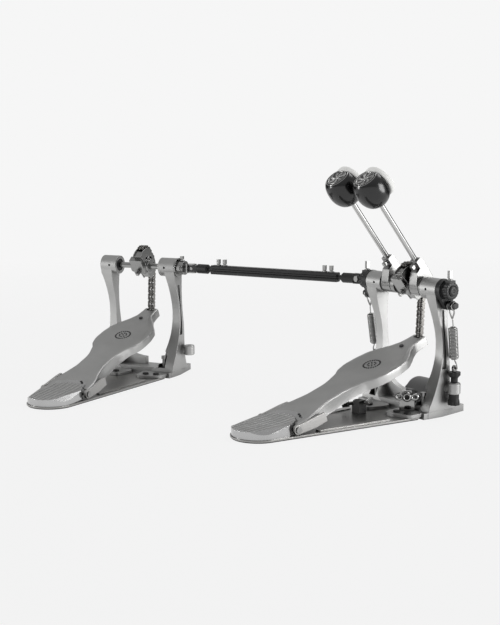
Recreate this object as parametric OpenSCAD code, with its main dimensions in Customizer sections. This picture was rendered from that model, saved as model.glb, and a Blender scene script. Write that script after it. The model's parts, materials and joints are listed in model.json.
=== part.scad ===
/* [Axles] */
// Height of both axles above the floor
axle_height = 190; // [175:1:200]
// Diameter of the axles
axle_d = 10; // [8:0.5:12]
// Running clearance on every turning fit, measured on the radius
run_gap = 0.05; // [0.02:0.01:0.09]
// Distance of the treadle and chain line from the middle of the frame
track_x = 8; // [4:1:10]

/* [Slave pedal place] */
// Shift of the slave pedal to the left of the main one
slave_x = -484; // [-510:0.1:-465]
// Shift of the slave pedal towards the heel
slave_y = -175.3; // [-190:0.1:-160]
// Turn of the slave pedal, toes out
slave_turn = 28.16; // [24:0.01:32]

/* [Base] */
// Thickness of the rubber mat
mat_t = 1.5; // [1:0.5:3]
// Thickness of the steel base plate
plate_t = 2.5; // [2:0.5:4]
// Half width of the base plate at the heel
plate_heel_w = 38.5; // [38:0.5:42]
// Half width of the base plate at its rear end
plate_rear_w = 59.5; // [58:0.5:64]
// Rear end of the base plate
plate_rear_y = -30; // [-34:1:-27]
// Centre of the heel rounding
heel_y = -284; // [-290:1:-278]
// Radius of the heel block's rounding
heel_r = 37; // [35:0.5:38]
// Height of the heel block at its front edge
heel_front_h = 15; // [13:0.5:17]
// Height of the heel block at its rear edge
heel_rear_h = 20; // [18:0.5:21]
// Number of grooves on the heel block
grooves = 7; // [5:1:8]
// Spacing of the grooves
groove_pitch = 8.2; // [6:0.1:8.6]

/* [Frame] */
// Radius of the bearing bosses
boss_r = 16; // [15:0.5:18]
// Length of a bearing boss
boss_len = 31; // [28:1:34]
// Outer face of the bosses from the middle of the frame
boss_out = 74; // [72:1:76]
// Outer diameter of the bearings
bearing_d = 22; // [20:1:24]
// Width of a bearing
bearing_w = 6; // [5:0.5:7]
// Height of the foot behind a post
foot_h = 10.6; // [9:0.2:13]
// Height of the deck between the posts
deck_h = 15; // [13:0.5:17]
// Depth of the recess in a post's outer face
recess = 2.5; // [1:0.5:4]

/* [Springs] */
// Distance of a spring lug's hole from the middle of the frame
lug_x = 85.5; // [84:0.5:88]
// Place of the lug's hole towards the drum
lug_y = 17.4; // [16:0.2:20]
// Height of the middle of the lug
lug_z = 44; // [42:1:46]
// Radius of the lug's end
lug_r = 9.5; // [9:0.5:11]
// Distance of the rocker's swivel from the middle of the frame
swivel_x = 89; // [88:0.5:90]
// Place of the swivel towards the drum
swivel_y = 4.4; // [2:0.2:6]
// Depth of the swivel under the axle
swivel_drop = 21.5; // [20:0.5:24]
// Wire diameter of the springs
spring_wire = 1.6; // [1.2:0.1:1.7]
// Outer diameter of the springs
spring_d = 13.6; // [12:0.2:15]
// Straight upper end of a spring, over its curls
spring_end = 10.5; // [8:0.5:14]
// Rise of one curl
spring_pitch = 2.1; // [2.1:0.05:2.4]
// Diameter of the tension rod
tension_d = 5; // [4:0.5:6]

/* [Beaters] */
// Lean of the beaters towards the player
beater_lean = 40; // [30:1:45]
// Diameter of a beater rod
rod_d = 8; // [7.5:0.1:9]
// Distance of the rod from the axle, towards the drum
rod_offset = 17; // [16:0.5:19]
// Distance of the right rod from the middle of the frame
beater_x = 29; // [28:0.5:30]
// Distance of the left rod from the middle of the frame
left_beater_x = 31.5; // [29:0.5:32]
// Distance of the head's middle from the axle along the rod
head_up = 175; // [150:1:190]
// Largest radius of the head
head_r = 24.5; // [22:0.5:26]
// Radius of the felt disc
felt_r = 24; // [20:0.5:26]
// Thickness of the felt disc
felt_t = 9; // [6:0.5:12]

/* [Cam and chain] */
// Radius of the chain's pins on the cam where it unrolls
chain_r = 24.5; // [23:0.5:26]
// Extra radius of the cam at its top
cam_rise = 9.5; // [6:0.5:11]
// Chain pitch
chain_pitch = 6.35; // [6.35:0.01:6.4]
// Links in the straight run
run_links = 14; // [12:1:15]
// Links wrapped on the cam
wrap_links = 7; // [5:1:8]
// Full turn of the cam from rest to the drum
stroke = 45; // [35:1:50]

/* [Footboard] */
// Rest angle of the footboard
board_angle = 19.24; // [18:0.01:20.5]
// Height of the footboard's top line at its heel end
board_z = 17; // [16:0.5:18]
// Place of that heel end
board_y = -252; // [-254:1:-250]
// Length of the footboard
board_len = 289; // [280:1:291]
// Depth of the footboard's sides
skirt = 14; // [12:0.5:16]
// Wall of the footboard
board_wall = 4; // [3:0.5:5]
// Radius of the fork round the heel block
fork_r = 40; // [38:0.5:41]
// Place of the heel hinge
hinge_y = -247; // [-249:1:-245]
// Height of the heel hinge
hinge_z = 13; // [12:0.5:14]
// Diameter of the heel hinge pin
hinge_d = 6; // [5:0.5:7]

/* [Drive shaft] */
// Distance of a universal joint's centre from the middle of its frame
joint_x = 105; // [103:1:108]
// Size of the universal joint blocks
joint_w = 16; // [15:0.5:17]
// Bare length of each shaft rod between its hub and the channel
channel_margin = 7.6; // [6:0.2:20]
// Width and height of the shaft channel
channel_w = 15; // [14:0.5:17]
// Diameter of the sliding shaft rods
shaft_rod_d = 8; // [7:0.5:9]

/* [Hidden] */
$fn = 48;
small = 24;
eps = 0.01;
deck_z = mat_t + plate_t;
axle_r = axle_d / 2;
bearing_r = bearing_d / 2;
rod_r = rod_d / 2;
swivel_z = axle_height - swivel_drop;
lug_point = [lug_x, lug_y, lug_z];
eye_point = [lug_x, lug_y, 74];
swivel_point = [swivel_x, swivel_y, swivel_z];

function curve(a, b, c, d, n = 8, first = 0) = [for (i = [first:n]) let (t = i / n)
    a * pow(1 - t, 3) + 3 * b * t * pow(1 - t, 2) + 3 * c * t * t * (1 - t) + d * pow(t, 3)];
function mix(a, b, t) = a + (b - a) * t;
function clamp01(t) = max(0, min(1, t));
function ease(t) = t * t * (3 - 2 * t);
// Value at s of a table of [s, value] rows, joined smoothly
function along_table(t, s, i = 0) = i >= len(t) - 2 || s <= t[i + 1][0]
    ? mix(t[i][1], t[i + 1][1], ease(clamp01((s - t[i][0]) / (t[i + 1][0] - t[i][0]))))
    : along_table(t, s, i + 1);

// Left of the frame is the right side mirrored
module side(s) {
    if (s < 0) mirror([1, 0, 0]) children();
    else children();
}
module at_slave() {
    translate([slave_x, slave_y, 0]) rotate([0, 0, slave_turn]) children();
}
// Cylinder along X in the frame of its parent
module x_bar(x0, x1, r, fn = 48) {
    translate([x0, 0, 0]) rotate([0, 90, 0]) cylinder(h = x1 - x0, r = r, $fn = fn);
}
module at_axle() {
    translate([0, 0, axle_height]) children();
}
// Axes leaned like the beaters: local Z runs up the rod, local Y towards the drum
module leaned() {
    at_axle() rotate([beater_lean, 0, 0]) children();
}
// Local Z from one point to another
module from_to(a, b) {
    d = b - a;
    translate(a) rotate([0, acos(d[2] / norm(d)), atan2(d[1], d[0])]) children();
}
// Square-headed clamp bolt that stands on z = 0, with its shank below
module key_bolt(shank = 6, head = 8) {
    cylinder(h = 1.6, r = 4.6, $fn = small);
    translate([0, 0, 1.6]) cylinder(h = head - 1.6, r = 2.7, $fn = small);
    translate([-2.6, -2.6, 3]) cube([5.2, 5.2, head - 3]);
    translate([0, 0, -shank]) cylinder(h = shank + eps, r = 2.4, $fn = small);
}
// Outline of a lever: two round ends joined by their outer tangents
module lever_outline(r1, r2, d) {
    a = acos((r1 - r2) / d);
    circle(r = r1);
    translate([d, 0]) circle(r = r2);
    polygon([[r1 * cos(a), r1 * sin(a)], [d + r2 * cos(a), r2 * sin(a)],
        [d + r2 * cos(a), -r2 * sin(a)], [r1 * cos(a), -r1 * sin(a)]]);
}
module rounded_outline(pts, r) {
    for (p = pts) translate(p) circle(r = r, $fn = small);
    polygon([for (i = [0:len(pts) - 1]) each let (
        p = pts[i],
        q = pts[(i + 1) % len(pts)],
        d = (q - p) / norm(q - p),
        n = [d[1], -d[0]] * r
    ) [p + n, q + n]]);
}

// Base plate and mat outline, with the heel end an arc
module base_outline(inset = 0) {
    w0 = plate_heel_w - inset;
    w1 = plate_rear_w - inset;
    corner = 6;
    y1 = plate_rear_y - inset - corner;
    translate([track_x, heel_y]) intersection() {
        circle(r = w0, $fn = 96);
        translate([-w0, -w0]) square([2 * w0, w0 + eps]);
    }
    translate([track_x, 0]) {
        polygon([[-w0, heel_y], [w0, heel_y], [w1, y1], [w1 - corner, y1 + corner],
            [-w1 + corner, y1 + corner], [-w1, y1]]);
        for (s = [-1, 1]) translate([s * (w1 - corner), y1]) circle(r = corner, $fn = small);
    }
}
module base_mat() {
    color("#262626") linear_extrude(mat_t) base_outline(1.5);
}
rib_w = 9;
rib_h = 1.6;
rib_len = 120;
rib_from = 81;
rib_in = 11.4;
plate_taper = atan2(plate_rear_w - plate_heel_w, plate_rear_y - heel_y);
rib_x = plate_heel_w + rib_from * tan(plate_taper) - rib_in;
module base_plate() {
    color("#b4b4b4") translate([0, 0, mat_t]) difference() {
        union() {
            linear_extrude(plate_t) base_outline();
            // Pressed stiffening ribs along both edges
            for (s = [-1, 1])
                translate([track_x + s * rib_x, heel_y + rib_from, plate_t])
                rotate([0, 0, -s * plate_taper]) linear_extrude(rib_h) {
                    translate([-rib_w / 2, 0]) square([rib_w, rib_len]);
                    for (y = [0, rib_len]) translate([0, y]) circle(r = rib_w / 2, $fn = small);
                }
        }
        for (p = concat(flange_holes, heel_holes)) translate([p[0], p[1], -eps])
            cylinder(h = 9, r = screw_hole_r, $fn = small);
    }
}
screw_r = 2;
screw_hole_r = 2.1;
flange_holes = [for (s = [-1, 1]) for (p = [[48, -48], [30, -52]]) [track_x + s * p[0], p[1]]];
heel_holes = [for (s = [-1, 1]) [track_x + s * 24, heel_y - 2]];

// Heel block: rounded toe end, grooved top, tongue inside the footboard's fork, barrel for the hinge pin
tongue_w = 35;
heel_rear = hinge_y - 10;
tongue_gap = 1.2;
barrel_r = 7;
heel_slope = atan2(heel_rear_h - heel_front_h, heel_rear - (heel_y - heel_r));
module heel_outline() {
    translate([track_x, heel_y]) intersection() {
        circle(r = heel_r, $fn = 96);
        translate([-heel_r, -heel_r]) square([2 * heel_r, heel_r + eps]);
    }
    translate([track_x - heel_r, heel_y]) square([2 * heel_r, heel_rear - heel_y]);
    // Tongue with an arched end, concentric with the fork in the footboard
    translate([track_x, 0]) intersection() {
        translate([-tongue_w, heel_rear - 1]) square([2 * tongue_w, 60]);
        translate([0, fork_centre_y]) circle(r = fork_r * cos(board_angle) - tongue_gap, $fn = 96);
    }
}
fork_centre_s = -14;
fork_centre_y = board_y + fork_centre_s * cos(board_angle);
fork_far = fork_centre_y + fork_r * cos(board_angle);
tongue_rise = (board_top(fork_far) - 1.4 - heel_rear_h) / (fork_far - heel_rear);
function heel_top(y) = heel_front_h + (y - (heel_y - heel_r)) * tan(heel_slope);
module heel_plate() {
    color("#8c8c8c") difference() {
        intersection() {
            linear_extrude(40) heel_outline();
            translate([-100, 0, 0]) rotate([90, 0, 90]) linear_extrude(200)
                polygon([[heel_y - heel_r - 1, deck_z], [fork_far, deck_z],
                    [fork_far, board_top(fork_far) - 1.4], [heel_rear, heel_rear_h],
                    [heel_y - heel_r + 4, heel_front_h + 0.2], [heel_y - heel_r - 1, heel_front_h - 3]]);
        }
        for (i = [0:grooves - 1]) translate([track_x + (i - (grooves - 1) / 2) * groove_pitch, 0, 0])
            groove_cut();
        // Room for the bracket arms beside the barrel, and the bore for the pin
        for (s = [-1, 1]) translate([track_x + s * (tongue_w + 5.5), hinge_y, hinge_z])
            translate([-5, -9.5, -9]) cube([10, 60, 40]);
        translate([track_x, hinge_y, hinge_z]) x_bar(-60, 60, hinge_d / 2 + 0.01);
        // Hollow under the tongue
        translate([track_x - tongue_w + 4, heel_rear + 8, deck_z - 1]) cube([2 * tongue_w - 8, 60, 3]);
        for (p = heel_holes) translate([p[0], p[1], deck_z - eps])
            cylinder(h = 5, r = screw_hole_r, $fn = small);
    }
}
groove_w = 3.4;
groove_d = 1.5;
function board_top(y) = board_z + (y - board_y) * tan(board_angle);
module groove_cut() {
    // One groove that follows the two slopes of the top
    y0 = heel_y - heel_r - 2;
    translate([-groove_w / 2, 0, 0]) rotate([90, 0, 90]) linear_extrude(groove_w)
        polygon([[y0, heel_top(y0) - groove_d], [heel_rear, heel_rear_h - groove_d],
            [heel_rear + 60, heel_rear_h - groove_d + 60 * tongue_rise], [heel_rear + 60, 60], [y0, 60]]);
}

// Cast frame, its posts as high as the axle asks
function up(f) = f * axle_height;
post_top = axle_height - 4;
post_front = concat(
    curve([-14.5, post_top], [-11, up(0.79)], [2.5, up(0.716)], [1.5, up(0.526)]),
    curve([1.5, up(0.526)], [1, up(0.379)], [-5, up(0.242)], [-20, 16], 8, 1));
post_rear = concat(
    curve([34, foot_h], [24, 20], [20, 42], [18, up(0.368)]),
    curve([18, up(0.368)], [15, up(0.516)], [6, up(0.674)], [14.5, post_top], 8, 1));
module post_profile_yz() {
    polygon(concat(post_front, [[-22, 0], [61.5, 0], [61.5, foot_h]], post_rear));
}
// Right post: nearly straight outside, hollowed inside
right_inner = concat(
    curve([54, post_top], [56, up(0.905)], [61, up(0.868)], [61.5, up(0.71)]),
    curve([61.5, up(0.71)], [64, up(0.421)], [57, up(0.316)], [50, up(0.19)], 8, 1),
    curve([50, up(0.19)], [47, 22], [40, 13], [28, 9], 6, 1));
right_outer = [[28, -1], [boss_out - 1, -1], [boss_out + 2.5, up(0.474)], [boss_out, post_top]];
// Left post: bowed inwards under its boss
left_inner = concat(
    curve([52, post_top], [53, up(0.905)], [53, up(0.79)], [53, up(0.71)]),
    curve([53, up(0.71)], [53, up(0.421)], [51, up(0.316)], [46, up(0.19)], 8, 1),
    curve([46, up(0.19)], [43, 22], [38, 13], [28, 9], 6, 1));
left_outer = concat([[28, -1], [boss_out - 1, -1], [boss_out - 1, 12]],
    curve([boss_out - 1, 12], [boss_out - 1, up(0.21)], [boss_out - 7.5, up(0.316)],
        [boss_out - 7.5, up(0.474)], 8, 1),
    curve([boss_out - 7.5, up(0.474)], [boss_out - 8, up(0.737)], [boss_out - 7, up(0.842)],
        [boss_out, up(0.926)], 8, 1), [[boss_out, post_top]]);
foot_pts = [[30, -21], [72.5, -21], [73.5, 5], [64, 62], [46, 62], [30, 22]];
module post(s) {
    intersection() {
        translate([-100, 0, 0]) rotate([90, 0, 90]) linear_extrude(200) post_profile_yz();
        translate([0, 100, 0]) rotate([90, 0, 0]) linear_extrude(200)
            polygon(s > 0 ? concat(right_inner, right_outer) : concat(left_inner, left_outer));
        union() {
            linear_extrude(30) polygon(foot_pts);
            translate([0, -40, foot_h]) cube([90, 80, axle_height]);
        }
    }
}
// Shallow pocket in the outer face of a post
module post_recess() {
    translate([boss_out + 4, 0, 0]) rotate([90, 0, 90]) translate([0, 0, -recess - 3]) linear_extrude(recess + 9)
        polygon(concat(
            curve([-4, up(0.842)], [-1, up(0.737)], [5, up(0.684)], [5, up(0.547)]),
            curve([5, up(0.547)], [4.5, up(0.474)], [3, up(0.421)], [1, up(0.379)], 6, 1),
            curve([11, up(0.379)], [10, up(0.474)], [6, up(0.632)], [4, up(0.842)], 8)));
}
module lug(s) {
    translate([0, lug_y, lug_z - 1]) x_bar(s > 0 ? 64 : 58, lug_x, 8);
    translate(lug_point) intersection() {
        cylinder(h = 17, r = lug_r, center = true);
        sphere(r = lug_r + 2.2, $fn = 64);
    }
}
web_y = [2, 12];
module web() {
    // Arched brace from the left post to the middle of the deck
    translate([0, web_y[1], 0]) rotate([90, 0, 0]) linear_extrude(web_y[1] - web_y[0])
        polygon(concat([[-56, 0], [-56, 92]],
            curve([-55, 92], [-56, 56], [-40, 32], [-3, 28.5]), [[6, 28], [6, 0]]));
}
flange_pts = [[20, -32], [52, -32], [52, -48], [34, -57], [24, -57]];
flange_r = 8;
flange_t = 5;
flange_ccw = [flange_pts[0], flange_pts[4], flange_pts[3], flange_pts[2], flange_pts[1]];
module frame_casting(clamp = true) {
    difference() {
        union() {
            for (s = [-1, 1]) side(s) {
                at_axle() x_bar(boss_out - boss_len, boss_out, boss_r, 72);
                post(s);
                lug(s);
                // Front flange that sits on the base plate
                mirror([s < 0 ? 1 : 0, 0, 0]) translate([track_x, 0, deck_z]) side(s) linear_extrude(flange_t)
                    rounded_outline(flange_ccw, flange_r);
                translate([s < 0 ? 12 : 28, plate_rear_y + 0.4, 0])
                    cube([s < 0 ? 60 : 44, 12, deck_z + flange_t]);
            }
            web();
            translate([-46, -20, 0]) cube([92, 40, deck_h]);
            if (clamp) {
                // Lower jaw of the hoop clamp
                translate([track_x - 25, 14, 0]) cube([50, 46, 8]);
                clamp_ears();
            }
        }
        // Bearing seats and the clear bore between them
        for (s = [-1, 1]) side(s) at_axle() {
            x_bar(boss_out - boss_len - 1, boss_out + 1, bearing_r - 2);
            x_bar(boss_out - boss_len - 1, boss_out - boss_len + bearing_w, bearing_r + 0.02);
            x_bar(boss_out - bearing_w, boss_out + 1, bearing_r + 0.02);
            translate([55.5, -boss_r - 1, 0]) rotate([-90, 0, 0]) cylinder(h = 5, r = 2, $fn = small);
        }
        for (s = [-1, 1]) side(s) {
            if (s > 0) post_recess();
            translate(lug_point) cylinder(h = 40, r = lug_hole_r, center = true);
            translate(spur_point + [0, 0, -9]) cylinder(h = 60, r = spur_r + 0.1, $fn = small);
            // Notch at the post's inner front where the spur's head stands
            translate([44, -31, deck_h]) cube([13.5, 26, 27]);
        }
        for (p = flange_holes) translate([p[0], p[1], deck_z - 1]) cylinder(h = 9, r = screw_hole_r, $fn = small);
        // Hollows under the deck, beside a solid middle
        for (s = [-1, 1]) side(s) translate([9, -14, -1]) cube([31, 26, 7]);
    }
}
lug_hole_r = tension_d / 2 + 0.4;
spur_point = [51, -11, 0];
spur_r = 3;

// Bearings
module bearings() {
    for (s = [-1, 1]) side(s) at_axle() for (x = [boss_out - boss_len, boss_out - bearing_w])
        translate([x, 0, 0]) rotate([0, 90, 0]) difference() {
            cylinder(h = bearing_w, r = bearing_r, $fn = 64);
            translate([0, 0, -1]) cylinder(h = bearing_w + 2, r = axle_r + run_gap);
            for (z = [-1, bearing_w - 0.6]) translate([0, 0, z]) difference() {
                cylinder(h = 1.6, r = bearing_r - 1.6);
                translate([0, 0, -1]) cylinder(h = 4, r = axle_r + 2);
            }
        }
}

// Hoop clamp: upper jaw on a pin between two ears, and the wing screw in its angled bracket
jaw_pin_y = 26;
jaw_pin_z = 24;
jaw_w = 44;
jaw_t = 9;
ear_x = jaw_w / 2 + 0.4;
module clamp_ears() {
    for (s = [-1, 1]) translate([track_x + s * (ear_x + 2.5) - 2.5, 18, 0])
        rotate([90, 0, 90]) linear_extrude(5) {
        square([16, jaw_pin_z]);
        translate([8, jaw_pin_z]) circle(r = 8);
    }
    translate([track_x, jaw_pin_y, jaw_pin_z]) x_bar(-ear_x - 6, ear_x + 6, 3);
}
module hoop_jaw() {
    color("#5a5a5a") difference() {
        union() {
            // Arched arm, higher towards the drum
            translate([track_x - jaw_w / 2, 0, 0]) rotate([90, 0, 90]) linear_extrude(jaw_w)
                polygon(concat(
                    [[16, 20], [14, 27]], curve([14, 27], [22, 42], [36, 46], [50, 42]),
                    curve([50, 42], [56, 38], [58, 30], [57, 23], 6, 1), [[52, 22]],
                    curve([52, 26], [44, 32], [38, 30], [32, 18], 6)));
            // Tail that the wing screw lifts
            translate([track_x + 9, -14, 19.5]) cube([13, 36, 7]);
            translate([track_x + 9, -14, 19.5]) cube([13, 6, 17]);
        }
        translate([track_x, jaw_pin_y, jaw_pin_z]) x_bar(-40, 40, 3 + run_gap);
    }
}
bracket_place = [40.5, -34, 0];
bracket_turn = 45;
screw_z = 31;
wing_len = 17;
screw_tip = 19;
module at_bracket() {
    translate(bracket_place) rotate([0, 0, bracket_turn]) children();
}
bracket_w = 22;
module clamp_bracket() {
    color("#d8d8d8") at_bracket() difference() {
        union() {
            translate([-bracket_w / 2, -2, deck_z + flange_t])
                cube([bracket_w, 4, screw_z - deck_z - flange_t]);
            translate([-bracket_w / 2, -2, deck_z + flange_t]) cube([bracket_w, 9, 3]);
            translate([-7, -2, screw_z]) cube([14, 4, 8]);
        }
        translate([0, -9, screw_z]) rotate([-90, 0, 0]) cylinder(h = 20, r = 3 + run_gap);
    }
}
module clamp_screw() {
    color("#c9c9c9") at_bracket() translate([0, 0, screw_z]) rotate([90, 0, 0]) {
        translate([0, 0, -screw_tip]) cylinder(h = screw_tip + 3, r = 3);
        translate([0, 0, 2.3]) cylinder(h = 5.5, r = 7.5);
        translate([0, 0, 2.3]) cylinder(h = 7.5, r = 5, $fn = 6);
        for (a = [0, 180]) rotate([0, 0, a]) {
            translate([6, -1.6, 3]) cube([wing_len - 10, 3.2, 3.6]);
            translate([wing_len - 4, 0, 3]) cylinder(h = 3.6, r = 4, $fn = small);
        }
    }
}
// Drum key in its clip on the base plate
key_place = [-8, -85, deck_z];
module key_clip() {
    color("#1c1c1c") translate(key_place) difference() {
        translate([-8, -7, 0]) cube([16, 14, 19]);
        translate([0, 0, 15.5]) rotate([0, 78, 35]) cylinder(h = 60, r = 3.1, center = true, $fn = small);
        translate([0, 0, 15.5]) rotate([0, 78, 35]) translate([-9, -2.4, -20]) cube([9, 4.8, 40]);
    }
}
module drum_key() {
    color("#cfcfcf") translate(key_place + [0, 0, 15.5]) rotate([0, 78, 35]) difference() {
        union() {
            translate([0, 0, -17]) cylinder(h = 34, r = 3, $fn = small);
            translate([0, 0, -26]) cylinder(h = 10, r = 4.6, $fn = small);
            translate([0, -14, 15]) rotate([-90, 0, 0]) cylinder(h = 28, r = 3.4, $fn = small);
        }
        translate([-2.8, -2.8, -27]) cube([5.6, 5.6, 9]);
    }
}

// Screws of the flanges and the heel block, and the spurs
module screw(p, z, len) {
    translate([p[0], p[1], z]) {
        cylinder(h = 2.6, r = 3.8, $fn = small);
        translate([0, 0, -len]) cylinder(h = len + eps, r = screw_r, $fn = small);
    }
}
module pedal_screws() {
    for (p = flange_holes) screw(p, deck_z + flange_t, 7);
    for (p = heel_holes) translate([p[0], p[1], mat_t + 0.1])
        cylinder(h = plate_t + 4, r = screw_r, $fn = small);
    for (s = [-1, 1]) side(s) translate(spur_point) {
        translate([0, 0, 0.4]) cylinder(h = 3, r1 = 0.6, r2 = spur_r, $fn = small);
        translate([0, 0, 3.4]) cylinder(h = 28, r = spur_r, $fn = small);
        translate([0, 0, 30]) cylinder(h = 5.5, r = 4.6, $fn = small);
    }
}
module hinge_pin() {
    reach = arm_in + arm_t + 0.3;
    color("#b0b0b0") translate([track_x, hinge_y, hinge_z]) {
        x_bar(-reach, reach, hinge_d / 2);
        for (s = [-1, 1]) side(s) translate([reach, 0, 0]) rotate([0, 90, 0])
            cylinder(h = 1.6, r = 4.4, $fn = small);
    }
}

// Footboard, lofted along its slope: [place along the slope, half width]
top_widths = [[0, 43], [30, 38], [60, 29.5], [92, 25], [140, 33], [156, 42], [186, 46.3], [210, 44],
    [232, 34], [252, 20], [268, 14], [289, 12.5]];
low_widths = [[0, 39.5], [28, 38.8], [46, 38], [70, 34.5], [100, 32.5], [140, 36], [160, 44.5],
    [186, 47], [210, 44.6], [232, 35], [252, 22], [268, 16], [289, 14]];
stations = 28;
first_s = 4;
module at_board() {
    translate([track_x, board_y, board_z]) rotate([board_angle, 0, 0]) children();
}
function board_ring(s) = let (
    t = along_table(top_widths, s),
    l = along_table(low_widths, s),
    w = board_wall,
    lip = min(1.6, t / 6)
) [[-l, s, -skirt], [-t - 0.5, s, -2], [-t + lip, s, 0], [t - lip, s, 0], [t + 0.5, s, -2], [l, s, -skirt],
    [l - w, s, -skirt], [t - w, s, -w - 0.6], [-t + w, s, -w - 0.6], [-l + w, s, -skirt]];
module board_shell() {
    rings = [for (i = [0:stations]) board_ring(mix(first_s, board_len, i / stations))];
    n = len(rings[0]);
    points = [for (r = rings) each r];
    walls = [for (i = [0:stations - 1]) for (j = [0:n - 1]) let (
        a = i * n + j,
        b = i * n + (j + 1) % n
    ) each [[a, b, a + n], [b, b + n, a + n]]];
    caps = [for (m = [[0, false], [stations * n, true]]) for (f = [[0, 1, 8], [0, 8, 9], [1, 2, 8], [2, 3, 8],
        [3, 7, 8], [3, 4, 7], [4, 5, 7], [5, 6, 7]]) m[1]
        ? [m[0] + f[2], m[0] + f[1], m[0] + f[0]]
        : [m[0] + f[0], m[0] + f[1], m[0] + f[2]]];
    polyhedron(points = points, faces = concat(walls, caps));
}
toe_s = board_len - 8;
tongue_from = 45;
clevis_screw = 39;
toe_wall = 3;
module footboard() {
    color("#828282") at_board() difference() {
        union() {
            board_shell();
            // Cross ribs under the board
            for (s = [70, 120, 170, 215]) let (w = along_table(top_widths, s) - board_wall)
                translate([-w, s, -skirt + 3]) cube([2 * w, 2.5, skirt - 6]);
            translate([-2, 60, -skirt + 3]) cube([4, board_len - tongue_from - 61, skirt - 6]);
        }
        // Fork round the heel block
        translate([0, fork_centre_s, -30]) cylinder(h = 60, r = fork_r, $fn = 96);
        // Room for the bracket's arms beside the board and for their round ends
        for (s = [-1, 1]) side(s) translate([arm_in - 0.2, -20, -30]) cube([12, 51, 60]);
        translate([0, pin_s, pin_up]) x_bar(-60, 60, arm_end_r + 0.4);
        // Seats for the toe clevis and its screw
        translate([-clevis_w / 2 - 0.2, toe_s - 16, -30]) cube([clevis_w + 0.4, 40, 27]);
        translate([0, board_len - clevis_screw, -20]) cylinder(h = 40, r = 2.1, $fn = small);
        translate([-chain_half - 0.6, toe_s - 1.5, -30]) cube([2 * chain_half + 1.2, 40, 60]);
    }
}
// Bracket under the heel end of the footboard, with an arm to each end of the hinge pin
arm_t = 4.5;
arm_in = 39.2;
arm_end_r = 7;
pin_s = (hinge_y - board_y) * cos(board_angle) + (hinge_z - board_z) * sin(board_angle);
pin_up = (hinge_z - board_z) * cos(board_angle) - (hinge_y - board_y) * sin(board_angle);
plate_s = [39, 54];
module hinge_bracket() {
    low = -skirt - 3;
    color("#a0a0a0") at_board() difference() {
        union() {
            for (s = [-1, 1]) side(s) translate([arm_in, 0, 0]) rotate([90, 0, 90]) linear_extrude(arm_t) {
                translate([pin_s, pin_up]) circle(r = arm_end_r);
                polygon([[pin_s - 3, pin_up + 6.3], [pin_s - 3, pin_up - 6.3], [plate_s[0] - 6, low],
                    [plate_s[1], low], [plate_s[1], -4], [plate_s[0], -2], [16, -0.6]]);
            }
            translate([-arm_in - eps, plate_s[0], low])
                cube([2 * arm_in + 2 * eps, plate_s[1] - plate_s[0], 2.95]);
        }
        translate([0, pin_s, pin_up]) x_bar(-60, 60, hinge_d / 2 + run_gap);
    }
}

// Toe clevis with its pin, and the chain's path
toe_pin = [0, board_len - 3.36, -7.5];
toe_yz = [board_y + toe_pin[1] * cos(board_angle) - toe_pin[2] * sin(board_angle),
    board_z + toe_pin[1] * sin(board_angle) + toe_pin[2] * cos(board_angle)];
clevis_w = 18;
chain_half = 6.05;
module toe_clevis() {
    color("#2a2a2a") at_board() {
        difference() {
            translate([-clevis_w / 2, toe_s - 15, -11]) cube([clevis_w, 22, 8]);
            translate([-chain_half - 0.3, toe_s - 2, -30]) cube([2 * chain_half + 0.6, 40, 60]);
        }
        for (s = [-1, 1]) side(s) translate([0, toe_pin[1], toe_pin[2]])
            x_bar(chain_half + 0.3, clevis_w / 2, 4, small);
        translate(toe_pin) x_bar(-clevis_w / 2, clevis_w / 2, 1.6, small);
        translate([0, board_len - clevis_screw, -11]) cylinder(h = 12, r = 2, $fn = small);
        translate([0, board_len - clevis_screw, 0.02]) cylinder(h = 1.6, r = 3.4, $fn = small);
        translate([-6, board_len - tongue_from, -11]) cube([12, tongue_from - 19, 5]);
        translate([-clevis_w / 2, toe_s - 15, -11]) cube([clevis_w, 8, 8]);
    }
}
// Chain: pin radius, plate layers as [first x, thickness], alternate links
plate_h = 5.8;
pin_r = 1;
outer_layers = [[-6.05, 0.9], [-0.45, 0.9], [5.15, 0.9]];
inner_layers = [[-4.95, 0.9], [-1.55, 0.9], [0.65, 0.9], [4.05, 0.9]];
roller_spans = [[-4.1, 2.6], [1.5, 2.6]];
module chain_plate(len, x, t) {
    translate([x, 0, 0]) rotate([90, 0, 90]) linear_extrude(t) {
        circle(r = plate_h / 2, $fn = 16);
        translate([len, 0]) circle(r = plate_h / 2, $fn = 16);
        translate([0, -plate_h * 0.4]) square([len, plate_h * 0.8]);
    }
}
// Pins at points given as [y, z], with a plate pair between each two
module chain(points, parity = 0, first_pin = 0) {
    for (i = [0:len(points) - 2]) let (
        p = points[i],
        q = points[i + 1]
    ) translate([0, p[0], p[1]]) rotate([atan2(q[1] - p[1], q[0] - p[0]), 0, 0])
        for (l = (i + parity) % 2 == 0 ? outer_layers : inner_layers) chain_plate(norm(q - p), l[0], l[1]);
    for (i = [first_pin:len(points) - 1]) translate([0, points[i][0], points[i][1]]) {
        x_bar(-chain_half, chain_half, pin_r, 16);
        for (r = roller_spans) x_bar(r[0] - eps, r[0] + r[1] + eps, 1.75, 16);
    }
}
// Top pin of the straight run: it reaches past the tangent point by half the stroke
wrap_start = stroke / 2 - 1;
run_top = [chain_r, axle_height + chain_r * wrap_start * PI / 180 - chain_pitch];
run_pitch = norm(run_top - toe_yz) / run_links;
module chain_run() {
    color("#9a968c") translate([track_x, 0, 0]) difference() {
        chain([for (i = [0:run_links]) mix(toe_yz, run_top, i / run_links)], 0, 1);
        translate([0, toe_yz[0], toe_yz[1]]) x_bar(-8, 8, 1.6 + run_gap, small);
    }
}
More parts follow.
